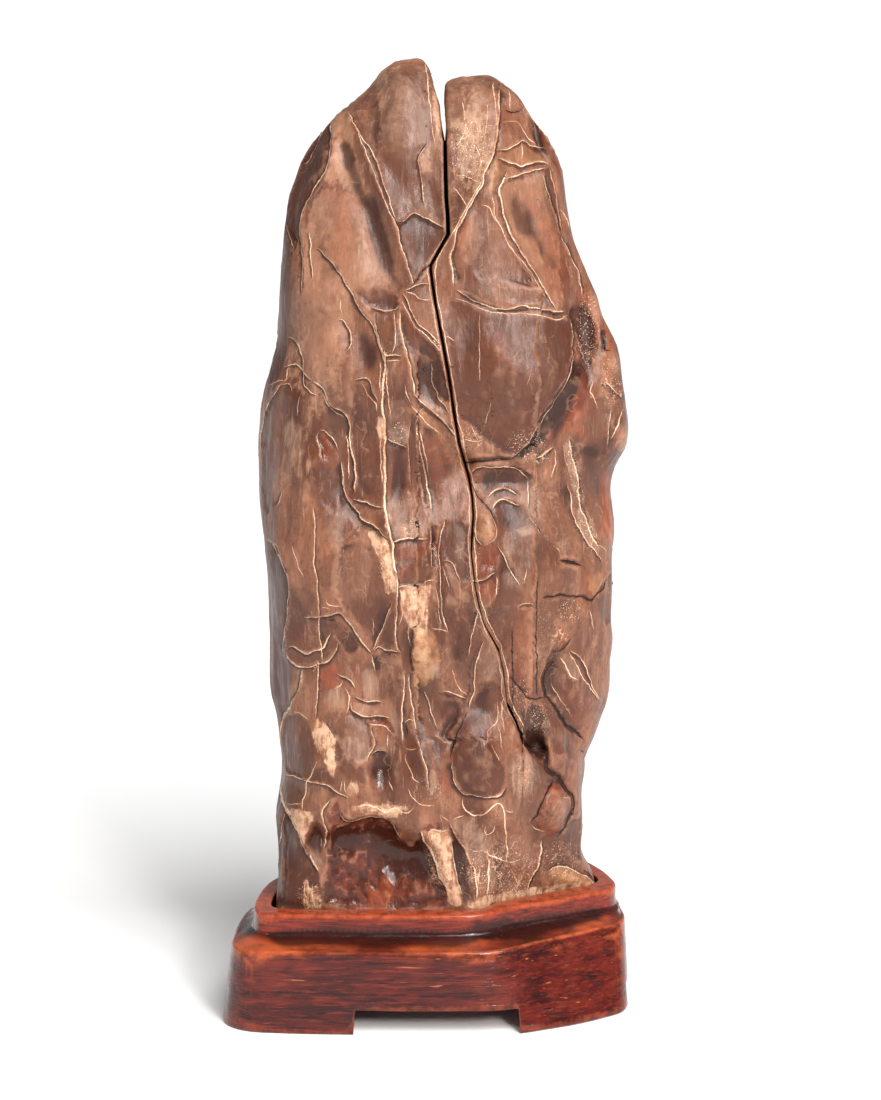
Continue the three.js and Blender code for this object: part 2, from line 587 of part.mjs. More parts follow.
// Grid points of one face, row by row: left patch, fissure bottom, right patch.
function faceRows(way) {
  const leftLip = lipLine(leftWall, -1);
  const rightLip = lipLine(rightWall, 1);
  const footMiddle = leftLip(0).x;
  const borders = {
    leftBottom: lineOf(footBorder(footLeft.x, footMiddle, way)),
    rightBottom: lineOf(footBorder(rightLip(0).x, footRight.x, way)),
    leftSide: lineOf(leftSide),
    leftTop: lineOf(leftTop),
    rightTop: lineOf(rightTop),
    rightSide: lineOf(rightSide),
  };
  const leftFootPoint = borders.leftBottom(1);
  const rightFootPoint = borders.rightBottom(0);
  const bend = (line, target) => {
    const shift = new THREE.Vector3().subVectors(target, line(0));
    return (t) => line(t).addScaledVector(shift, Math.max(0, 1 - 2 * t) ** 2);
  };
  const leftEdge = bend(leftLip, leftFootPoint);
  const rightEdge = bend(rightLip, rightFootPoint);
  const rows = [];
  for (let row = 0; row <= ROWS; row += 1) {
    const t = row / ROWS;
    const left = [];
    for (let column = 0; column < LEFT_COLUMNS; column += 1) {
      const s = crowd(column / (LEFT_COLUMNS - 1));
      left.push(span(borders.leftBottom, borders.leftTop, borders.leftSide, leftEdge, s, t));
    }
    const right = [];
    for (let column = 0; column < RIGHT_COLUMNS; column += 1) {
      const s = 1 - crowd(1 - column / (RIGHT_COLUMNS - 1));
      right.push(span(borders.rightBottom, borders.rightTop, rightEdge, borders.rightSide, s, t));
    }
    rows.push({ left, right });
  }
  return rows;
}

// Where two stretches of line cross, as the share along the first one, or null.
function crossing(a, b, c, d) {
  const turn = (b.x - a.x) * (d[1] - c[1]) - (b.y - a.y) * (d[0] - c[0]);
  if (turn === 0) return null;
  const first = ((c[0] - a.x) * (d[1] - c[1]) - (c[1] - a.y) * (d[0] - c[0])) / turn;
  const second = ((c[0] - a.x) * (b.y - a.y) - (c[1] - a.y) * (b.x - a.x)) / turn;
  return first >= 0 && first <= 1 && second >= 0 && second <= 1 ? first : null;
}

// Grid points moved along their row or column onto the ridges and ledges that cross it, so that each
// form has an unbroken run of points. Every moved point carries the name of its form.
function drawToForms(rows, way) {
  const grid = rows.map(({ left, right }) => [...left, ...right]);
  const lips = [0, LEFT_COLUMNS - 1, LEFT_COLUMNS, LEFT_COLUMNS + RIGHT_COLUMNS - 1];
  const free = (row, column) => row > 0 && row < ROWS && !lips.includes(column) && !grid[row][column].form;
  const draw = (from, to, [row, column], [nextRow, nextColumn], name) => {
    const [near, far] = [grid[row][column], grid[nextRow][nextColumn]];
    const share = crossing(seenFrom(near), seenFrom(far), from, to);
    if (share === null) return;
    const target = new THREE.Vector3().lerpVectors(near, far, share);
    const [chosenRow, chosenColumn] = share < 0.5 ? [row, column] : [nextRow, nextColumn];
    if (!free(chosenRow, chosenColumn)) return;
    const chosen = grid[chosenRow][chosenColumn];
    const near4 = [-1, 1].flatMap((step) => [
      grid[chosenRow + step][chosenColumn],
      grid[chosenRow][chosenColumn + step],
    ]);
    if (near4.some((other) => other.distanceTo(target) < CLOSEST_POINTS)) return;
    chosen.copy(target);
    chosen.form = name;
  };
  const { ridges, ledges } = FORMS[way];
  [...ledges, ...ridges].forEach(({ line }, name) => {
    for (let k = 1; k < line.length; k += 1) {
      const [from, to] = [line[k - 1], line[k]];
      const steep = Math.abs(to[1] - from[1]) > Math.abs(to[0] - from[0]);
      for (let row = 1; row + 1 < ROWS; row += 1) {
        for (let column = 1; column + 1 < grid[row].length; column += 1) {
          const next = steep ? [row, column + 1] : [row + 1, column];
          if (!steep || column + 1 !== LEFT_COLUMNS) draw(from, to, [row, column], next, name + 1);
        }
      }
    }
  });
}

// The finished points of one face: every grid place carried forward or back to the stone's surface.
function carvedFace(way) {
  const rows = faceRows(way);
  drawToForms(rows, way);
  const carve = (place, row, atOutline) => {
    if (atOutline) return place;
    if (row === 0) {
      if (way < 0) return onFoot(place);
      return new THREE.Vector3(place.x, footEdge(place.x, way), STONE_FOOT);
    }
    const depth = faceDepth(place, way);
    const point = way < 0 ? slide(place, depth) : new THREE.Vector3(place.x, depth, place.z);
    point.form = place.form;
    return point;
  };
  return rows.map(({ left, right }, row) => {
    const top = row === ROWS;
    const leftDone = left.map((p, column) => carve(p, row, column === 0 || top));
    const rightDone = right.map((p, column) => carve(p, row, column === RIGHT_COLUMNS - 1 || top));
    const edges = [left[LEFT_COLUMNS - 1], right[0]];
    if (row > GAP_ROW) return [...leftDone, ...edges, ...rightDone];
    const place = edges[0].clone().lerp(edges[1], 0.5);
    if (row === GAP_ROW) return [...leftDone, place, place, ...rightDone];
    const bottom = leftDone[LEFT_COLUMNS - 1].clone().lerp(rightDone[0], 0.5);
    const depth = along(way < 0 ? FISSURE_DEPTH : BACK_FISSURE_DEPTH, seenFrom(place).y);
    const limit = DEEPEST_SHARE * Math.abs(bottom.y - outlineDepth(place));
    bottom.y -= way * Math.min(depth, limit);
    return [...leftDone, bottom, bottom, ...rightDone];
  });
}

// A place of the outline plane below the front of the foot, carried forward onto the foot's edge.
function onFoot(place) {
  const share = (STONE_FOOT - EYE.z) / (place.z - EYE.z);
  const point = new THREE.Vector3().lerpVectors(EYE, place, share);
  point.y = footEdge(point.x, -1);
  return point;
}

// Both faces sewn together along the outer line and closed by the flat foot.
function stoneGeometry() {
  const faces = [-1, 1].map(carvedFace);
  const width = faces[0][0].length;
  const points = faces.flatMap((rows) => rows.flat());
  const corners = [];
  faces.forEach((rows, face) => {
    const start = face * (ROWS + 1) * width;
    for (let row = 0; row < ROWS; row += 1) {
      for (let column = 0; column + 1 < width; column += 1) {
        if (column === LEFT_COLUMNS) continue;
        const a = start + row * width + column;
        const [b, c, d] = [a + 1, a + width + 1, a + width];
        const rising = points[a].form && points[a].form === points[c].form;
        const falling = points[b].form && points[b].form === points[d].form;
        const shorter = points[a].distanceTo(points[c]) < points[b].distanceTo(points[d]);
        const short = rising || (shorter && !falling);
        const pair = short ? [[a, b, c], [a, c, d]] : [[a, b, d], [b, c, d]];
        corners.push(...(face === 0 ? pair : pair.map(([p, q, r]) => [r, q, p])));
      }
    }
  });
  const back = (ROWS + 1) * width;
  const ring = [];
  const doubled = LEFT_COLUMNS + 1;
  for (let column = 0; column < width; column += 1) {
    if (column !== doubled) ring.push(column);
  }
  for (let column = width - 2; column > 0; column -= 1) {
    if (column !== doubled) ring.push(back + column);
  }
  const flat = ring.map((k) => new THREE.Vector2(points[k].x, points[k].y));
  for (const [a, b, c] of THREE.ShapeUtils.triangulateShape(flat, [])) {
    corners.push([ring[c], ring[b], ring[a]]);
  }
  return closedGeometry(points, corners);
}

const STONE_MATERIAL = new THREE.MeshStandardMaterial({ color: 0x8f6a58, roughness: 0.5, metalness: 0 });
const WOOD_MATERIAL = new THREE.MeshStandardMaterial({ color: 0x64261d, roughness: 0.35, metalness: 0 });

function namedPiece(name, geometry, material) {
  const piece = new THREE.Mesh(geometry, material);
  piece.name = name;
  return piece;
}

const group = new THREE.Group();
group.add(namedPiece('stand', standGeometry(), WOOD_MATERIAL));
group.add(namedPiece('stone', stoneGeometry(), STONE_MATERIAL));

export default group;
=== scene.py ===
# %% [markdown]
# # A split scholar stone in its hardwood stand
# The CAD part gives two plain closed solids, the stone and the stand. Here both get the surface of the real
# object: a waxed brown-red stone with raised pale edges, open cracks and crusts, and a lacquered dark red stand.
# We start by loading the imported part, because every piece is made in its frame, in metres, +Z up.

import math

import bmesh
import bpy
import numpy as np
from mathutils import Matrix, Vector, noise


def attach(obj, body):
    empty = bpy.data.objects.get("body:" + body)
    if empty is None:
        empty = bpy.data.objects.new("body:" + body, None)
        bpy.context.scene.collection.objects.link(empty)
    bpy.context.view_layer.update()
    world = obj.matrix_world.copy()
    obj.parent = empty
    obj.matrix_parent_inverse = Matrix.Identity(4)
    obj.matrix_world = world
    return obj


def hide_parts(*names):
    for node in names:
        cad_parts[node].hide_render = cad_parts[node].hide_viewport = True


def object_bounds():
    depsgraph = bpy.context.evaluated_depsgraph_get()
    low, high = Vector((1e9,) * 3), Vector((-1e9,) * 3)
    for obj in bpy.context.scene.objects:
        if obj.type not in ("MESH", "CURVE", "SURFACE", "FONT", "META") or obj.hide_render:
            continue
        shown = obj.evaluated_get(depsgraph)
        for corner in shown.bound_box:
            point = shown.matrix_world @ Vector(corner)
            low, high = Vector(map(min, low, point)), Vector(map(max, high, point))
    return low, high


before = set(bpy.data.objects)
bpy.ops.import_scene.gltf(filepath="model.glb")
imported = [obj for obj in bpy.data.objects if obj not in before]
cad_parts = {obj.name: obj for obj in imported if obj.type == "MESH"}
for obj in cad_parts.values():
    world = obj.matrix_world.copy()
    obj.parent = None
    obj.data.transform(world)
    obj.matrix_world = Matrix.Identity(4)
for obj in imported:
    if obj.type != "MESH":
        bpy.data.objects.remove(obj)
cad_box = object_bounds()
MM = 0.001
print("CAD box in mm:", [[round(c / MM, 1) for c in corner] for corner in cad_box])

# %% [markdown]
# ## The camera
# The picture was taken with a longish lens, a little above the object and looking down about ten degrees.
# It comes first because the marks on the stone's front are placed by the column and row where this camera
# sees them. The picture is taken as 881 columns by 1100 rows.

# %% Camera
EYE = np.array((0.007, -1.315, 0.470))
LOOK_DOWN = math.radians(10)
LENS = 85
SENSOR = 36
COLUMNS, ROWS = 881, 1100
FOCAL = LENS / SENSOR * ROWS

camera_data = bpy.data.cameras.new("camera")
camera_data.lens = LENS
camera_data.sensor_fit = "VERTICAL"
camera_data.sensor_height = SENSOR
camera = bpy.data.objects.new("camera", camera_data)
camera.location = EYE
camera.rotation_euler = (math.pi / 2 - LOOK_DOWN, 0, 0)
bpy.context.scene.collection.objects.link(camera)
bpy.context.scene.camera = camera


def seen(points):
    """Column and row of the picture at which points in metres are seen."""
    away = points - EYE
    depth = away[:, 1] * math.cos(LOOK_DOWN) - away[:, 2] * math.sin(LOOK_DOWN)
    up = away[:, 1] * math.sin(LOOK_DOWN) + away[:, 2] * math.cos(LOOK_DOWN)
    return np.stack([COLUMNS / 2 + FOCAL * away[:, 0] / depth, ROWS / 2 - FOCAL * up / depth], 1)


print("the stand's middle is seen at", seen(np.zeros((1, 3))).round(0))

# %% [markdown]
# ## Marks on the front of the stone
# The real stone is built of smooth plates. Where two plates meet, one usually lies a little lower and its
# border is a thin raised pale edge. Each such edge is drawn one by one. Its row names the side that lies lower
# (None where neither does), the drop in millimetres, the height of the crest and the half width of the pale
# vein, and then gives the points of the line, column and row in turn. The edges could also be painted, but a
# mesh moved by these lines gives real steps, so their light and shadow are real too.

# %% Plate edges, upper part
def in_pairs(numbers):
    """Columns and rows given in turn, as a list of points."""
    return list(zip(numbers[::2], numbers[1::2]))


def as_lines(settings, rows):
    """Rows that start with a number of settings and go on as a line, with the line's points in pairs."""
    return [(*row[:settings], in_pairs(row[settings:])) for row in rows]


THICK, MAIN, THIN, FAINT = 0.44, 0.32, 0.22, 0.14
CLEFT = (445,142, 446,195, 449,233, 442,246, 430,265, 434,297, 444,350, 450,384, 455,418, 460,446, 471,486,
         473,513, 471,552, 476,594, 485,624, 499,649, 505,675, 505,697, 521,729)
EDGES = as_lines(4, (
    ("right", 1.6, 0.9, THIN, 347,111, 352,120, 360,137, 368,157, 374,173, 380,187, 384,200, 390,213, 396,224,
     401,245, 406,260, 410,272, 414,287),
    ("left", 0.5, 0.5, THIN, 352,120, 362,138, 372,150, 378,166, 384,185, 389,200, 397,222),
    ("left", 3.0, 0.6, THIN, 330,122, 331,140, 330,155, 327,168, 320,180, 313,191, 306,203, 301,215, 299,230,
     301,245, 303,270, 302,280, 301,295),
    ("left", 0.8, 0.3, FAINT, 328,123, 320,135, 314,150, 309,160, 303,165),
    ("left", 0.6, 0.4, THIN, 428,142, 421,152, 418,158, 420,175, 423,190, 425,206),
    ("below", 1.5, 0.6, THIN, 396,222, 404,221, 408,217, 412,213, 418,213, 424,217, 430,220, 438,224, 446,229),
    ("left", 0.8, 0.3, THIN, 286,224, 288,232, 291,240, 293,250),
    ("left", 0.5, 0.3, THIN, 310,232, 310,250, 311,265, 312,280),
    ("left", 1.7, 0.6, THIN, 316,247, 321,250, 326,256, 332,261, 336,268, 341,276, 346,284, 350,290, 354,296,
     358,306, 364,317, 370,321, 374,326, 376,334, 379,345, 382,355, 384,365, 386,378),
    ("below", 1.0, 0.7, THIN, 403,291, 410,289, 416,286, 424,283, 430,284),
    ("right", 0.9, 0.5, THIN, 376,311, 375,320, 377,333, 380,345, 384,357),
    ("right", 0.5, 0.3, THIN, 394,311, 395,322, 396,335, 394,345, 392,355),
    ("below", 0.7, 0.5, THIN, 384,357, 392,356, 403,356),
    (None, 0, 0.3, THIN, 385,361, 402,361),
    ("right", 1.2, 0.7, MAIN, 400,310, 400,325, 403,340, 407,352, 410,367, 413,384, 415,395),
    ("left", 0.9, 0.4, THIN, 338,320, 344,319, 349,328, 352,337, 351,346, 347,352),
    (None, 0, 0.3, FAINT, 340,297, 341,308, 343,317),
    ("left", 0.7, 0.4, THIN, 287,338, 292,338, 297,343, 301,352, 303,362, 304,384, 311,393, 317,396),
    ("below", 0.8, 0.6, THIN, 283,367, 290,365, 298,364, 305,374, 308,378, 313,380),
    ("left", 0.9, 0.6, THIN, 403,293, 409,303, 411,312, 416,321, 423,328, 431,334, 437,340, 440,346),
    (None, 0, 0.3, THIN, 402,300, 407,312, 413,324, 420,331, 428,337, 435,345, 438,352),
    (None, 0, 0.3, THIN, 405,291, 414,294, 420,299, 433,301),
    ("below", 1.6, 0.3, THIN, 370,306, 374,309, 380,310, 390,311, 397,309, 400,306),
    ("right", 1.3, 0.7, MAIN, 499,90, 499,120, 497,135, 494,150, 491,160, 488,165, 484,175, 483,185, 478,193,
     472,203, 468,209, 465,216, 459,225, 456,230, 455,240, 454,248, 450,253, 451,262, 453,275, 454,287),
    (None, 0, 0.4, THIN, 456,190, 461,197, 467,206),
    (None, 0, 0.4, THIN, 451,155, 453,165, 455,180),
    (None, 0, 0.4, THIN, 455,175, 463,176, 470,178, 480,182),
    ("below", 1.0, 0.7, THIN, 495,150, 505,149, 513,147, 519,142, 523,140, 527,143, 532,147, 546,149),
    ("below", 1.2, 0.7, MAIN, 497,158, 505,160, 515,164, 521,167, 530,163, 540,161, 547,163, 548,166),
    (None, 0, 0.4, THIN, 522,141, 522,160),
    ("below", 0.8, 0.4, THIN, 505,178, 515,177, 525,173, 535,170, 546,167),
    ("left", 1.4, 0.9, MAIN, 507,172, 503,180, 499,190, 500,198, 503,208, 505,218, 508,228, 512,237, 518,246,
     524,256, 530,266, 538,277, 545,290, 551,300, 555,308),
    (None, 0, 0.4, THIN, 492,195, 494,210, 497,220, 503,232, 508,243, 514,252, 522,260, 530,272, 540,287,
     548,300),
    ("right", 1.8, 0.2, FAINT, 543,173, 546,185, 549,197, 553,208, 557,218, 559,228, 561,237),
    (None, 0, 0.2, FAINT, 549,168, 553,185, 556,195, 558,208, 560,220, 562,232),
    ("right", 1.4, 0.5, THIN, 561,237, 567,248, 573,260, 578,272, 581,285, 582,296),
    (None, 0, 0.3, THIN, 560,208, 565,215, 569,228),
    ("below", 2.0, 0.9, MAIN, 456,290, 463,294, 472,300, 481,304, 491,308, 503,310, 512,308, 520,306, 530,307,
     545,310, 566,312),
    (None, 0, 0.4, THIN, 455,299, 465,301, 475,306, 483,310, 493,312, 503,314, 515,313, 540,315, 550,318,
     560,320, 568,315),
    (None, 0, 0.2, FAINT, 479,312, 480,335, 479,360, 480,382),
    (None, 0, 0.4, THIN, 444,336, 450,338, 455,342),
    ("right", 1.6, 0.3, FAINT, 570,318, 572,328, 573,340, 572,350, 573,362),
    (None, 0, 0.4, THIN, 594,378, 589,392, 594,395, 597,410),
    ("below", 0.8, 0.6, THIN, 600,384, 607,383, 613,390, 620,397, 622,396, 618,388),
    ("right", 1.2, 0.3, FAINT, 612,408, 609,422, 608,438, 607,450),
    (None, 0, 0.4, THIN, 623,408, 620,418, 616,430, 610,440),
    ("below", 0.8, 0.7, THICK, 536,458, 542,456, 548,450, 554,447),
    ("right", 4.2, 0.3, FAINT, 573,355, 572,366, 567,382, 556,400, 546,414, 537,428, 526,446, 512,457),
))
print(len(EDGES), "plate edges so far")

# %% Plate edges, middle part
EDGES += as_lines(4, (
    ("right", 0.7, 0.7, THIN, 292,392, 291,385, 288,382, 281,385, 276,390, 271,399, 267,405, 265,413, 263,422,
     261,436, 260,450),
    (None, 0, 0.4, THIN, 268,386, 277,381, 287,380, 287,373, 288,367),
    ("left", 1.7, 0.8, MAIN, 313,380, 319,384, 324,390, 325,395, 328,402, 332,407, 339,409, 344,412, 348,416,
     349,422, 350,432, 350,441, 351,452, 354,461, 355,470, 356,480, 354,485, 355,494),
    (None, 0, 0.4, THIN, 322,393, 327,404, 334,411, 344,417),
    (None, 0, 0.4, THIN, 346,434, 348,441, 348,463, 349,473, 348,480),
    (None, 0, 0.3, FAINT, 299,395, 299,404, 297,417),
    ("right", 0.8, 0.5, THIN, 319,431, 317,439, 320,446, 321,456, 324,464),
    ("below", 0.8, 0.5, THIN, 319,431, 324,431, 329,435, 334,439, 337,446, 338,451),
    ("left", 1.5, 0.7, THIN, 341,459, 342,475, 343,488, 347,498, 352,505, 358,511, 360,518, 369,523, 377,528,
     383,535, 388,539),
    ("right", 0.5, 0.7, 0.5, 384,350, 384,372, 383,395, 382,409, 385,422, 385,452, 385,475, 385,507, 387,519,
     390,532, 392,542, 393,553, 394,564, 397,574),
    ("right", 0.6, 0.8, MAIN, 397,574, 397,598, 396,615, 395,635, 397,649, 401,653),
    (None, 0, 0.4, THIN, 380,361, 380,380, 381,395),
    (None, 0, 0.4, THIN, 381,438, 381,463, 382,484),
    (None, 0, 0.4, THIN, 386,366, 387,387, 389,401, 390,418),
    ("below", 1.0, 0.6, THIN, 352,499, 359,501, 366,502, 370,505, 378,507, 385,507),
    ("below", 0.9, 0.6, THIN, 354,381, 359,379, 369,378, 370,383, 372,391, 375,396, 379,402),
    (None, 0, 0.3, THIN, 362,384, 367,394, 372,400, 376,404, 377,413),
    (None, 0, 0.3, THIN, 405,384, 407,395, 410,405),
    ("below", 1.1, 0.3, THIN, 386,438, 393,442, 401,445, 408,448),
    ("right", 0.5, 0.2, FAINT, 410,418, 408,441, 409,459, 410,472, 410,487),
    ("below", 1.8, 0.9, MAIN, 414,395, 419,399, 424,404, 430,409, 435,415, 441,418, 445,422, 451,429, 456,438),
    (None, 0, 0.5, THIN, 410,405, 416,411, 420,415, 427,424, 435,429, 440,434),
    (None, 0, 0.3, THIN, 425,407, 419,412),
    ("right", 1.1, 0.8, MAIN, 418,416, 417,427, 418,441, 420,452, 423,463, 426,473, 427,486, 430,497, 431,514),
    (None, 0, 0.4, THIN, 420,429, 421,441, 424,450, 427,463, 429,475),
    ("left", 0.5, 0.3, FAINT, 431,361, 432,376, 433,386, 437,392, 438,399, 444,405, 450,415),
    (None, 0, 0.2, FAINT, 531,368, 530,381, 527,387),
    (None, 0, 0.2, FAINT, 492,400, 488,413, 485,425),
    (None, 0, 0.5, THIN, 460,439, 469,441, 481,440),
    (None, 0, 0.5, THIN, 470,424, 474,432, 478,439),
    ("below", 1.4, 0.6, THIN, 470,475, 473,469, 479,467, 498,467, 509,467, 518,469, 524,475, 528,479),
    ("right", 0.4, 0.4, THIN, 528,479, 528,497, 528,511),
    ("below", 1.0, 0.7, MAIN, 488,498, 492,492, 499,488, 504,488, 511,491, 518,495),
    ("below", 1.3, 0.8, MAIN, 492,510, 494,504, 500,499, 504,499, 510,501, 516,505, 520,505),
    ("right", 0.8, 0.6, MAIN, 569,438, 571,451, 574,465, 577,476, 579,486, 578,494, 580,507, 585,518, 589,529,
     593,539, 597,545, 601,548),
    (None, 0, 0.3, THIN, 564,443, 565,457, 569,475),
    ("left", 0.7, 0.4, THIN, 567,482, 571,496, 572,513, 577,524, 584,537, 591,547, 600,558, 603,562),
    (None, 0, 0.4, THIN, 595,545, 601,545, 604,548, 607,552),
    (None, 0, 0.4, THIN, 554,448, 556,454, 555,465, 551,478),
    ("left", 0.7, 0.2, FAINT, 284,490, 279,500, 275,509),
    (None, 0, 0.3, FAINT, 312,476, 314,480, 318,481),
    ("left", 2.4, 0.5, THIN, 272,541, 280,558, 284,568, 288,578, 289,587, 288,603, 287,620, 284,637, 283,652),
    (None, 0, 0.3, FAINT, 292,544, 295,558, 300,569, 304,579),
    ("right", 0.6, 0.6, THIN, 314,507, 315,524, 314,544, 314,564, 317,581, 318,592, 318,603, 319,617, 319,635,
     322,649, 322,662),
    ("right", 0.5, 0.5, THIN, 318,660, 318,680, 317,700, 315,718),
    ("below", 1.8, 0.9, MAIN, 304,618, 313,617, 329,616, 336,613, 340,612, 346,619, 352,626, 355,633, 361,642,
     368,650, 372,654),
    ("right", 0.8, 0.5, THIN, 372,654, 374,663, 375,672),
    (None, 0, 0.5, THIN, 312,616, 312,609),
    (None, 0, 0.5, THIN, 320,609, 326,607, 331,610),
    (None, 0, 0.5, THIN, 326,600, 328,606, 343,607),
    ("right", 0.8, 0.1, 0, 360,519, 358,526, 352,533, 344,539, 342,547, 339,555),
    ("below", 1.3, 0.8, MAIN, 391,542, 401,540, 411,539, 420,540, 430,539),
    (None, 0, 0.6, MAIN, 397,588, 405,586, 411,589),
    (None, 0, 0.5, THIN, 423,584, 426,581, 435,580),
    (None, 0, 0.3, FAINT, 409,624, 408,632, 410,643, 414,654, 415,660),
    (None, 0, 0.4, THIN, 401,592, 402,609, 401,620, 399,626),
    ("left", 0.9, 0.5, THIN, 393,602, 387,616, 381,632, 375,643, 372,651),
    (None, 0, 0.3, FAINT, 373,617, 373,637),
    ("below", 1.1, 0.7, THIN, 373,652, 377,646, 381,647, 386,651, 394,651, 401,653),
    ("below", 1.0, 0.8, MAIN, 286,649, 291,646, 295,648, 301,652, 307,655, 311,653, 316,650, 322,649, 326,645,
     329,637, 332,633),
    ("below", 1.1, 0.7, MAIN, 286,651, 288,658, 293,663, 297,667, 304,668, 316,665, 324,663, 329,660, 333,656,
     337,650, 338,643),
    (None, 0, 0.5, THIN, 431,518, 437,521),
    (None, 0, 0.5, THIN, 432,522, 440,526),
    ("right", 0.8, 0.5, THIN, 431,523, 431,540, 432,569),
    ("right", 0.9, 0.5, THIN, 444,517, 444,527, 440,539, 439,552, 440,562, 441,598, 442,612, 445,624, 448,632),
    ("below", 0.6, 0.5, THIN, 443,560, 450,561, 454,566, 458,574, 460,581),
    (None, 0, 0.3, FAINT, 441,564, 444,570, 448,581, 449,589),
    (None, 0, 0.4, THIN, 429,627, 435,629, 444,630, 449,632),
    (None, 0, 0.3, FAINT, 436,586, 438,598, 438,612, 443,626),
    ("left", 0.8, 0.4, FAINT, 474,520, 474,530, 477,538, 481,544, 484,547),
    (None, 0, 0.3, FAINT, 484,547, 490,542, 496,540, 497,527, 493,516, 490,511),
    ("below", 1.2, 0.6, THIN, 466,583, 471,581, 480,581, 488,578, 494,574, 496,572),
    (None, 0, 0.4, THIN, 497,575, 497,581, 495,599),
    ("left", 0.5, 0.4, THIN, 497,545, 501,552, 505,559, 509,568, 512,575, 516,579, 521,586),
    (None, 0, 0.4, THIN, 524,584, 526,574, 527,568),
    ("below", 0.9, 0.6, THIN, 518,608, 520,604, 526,603, 532,604, 536,605),
    ("left", 0.6, 0.4, THIN, 476,610, 477,615, 474,626, 470,646, 469,658),
    ("left", 0.8, 0.5, THIN, 569,649, 574,653, 582,660, 586,667, 589,676, 591,684, 594,690, 600,700),
    (None, 0, 0.4, THIN, 568,649, 574,661, 581,673, 588,685, 601,702),
    (None, 0, 0.5, MAIN, 560,657, 567,667, 571,677, 578,680),
    (None, 0, 0.2, FAINT, 550,682, 558,696, 567,708, 573,719),
    (None, 0, 0.4, THIN, 589,609, 592,618, 594,630),
))
print(len(EDGES), "plate edges so far")

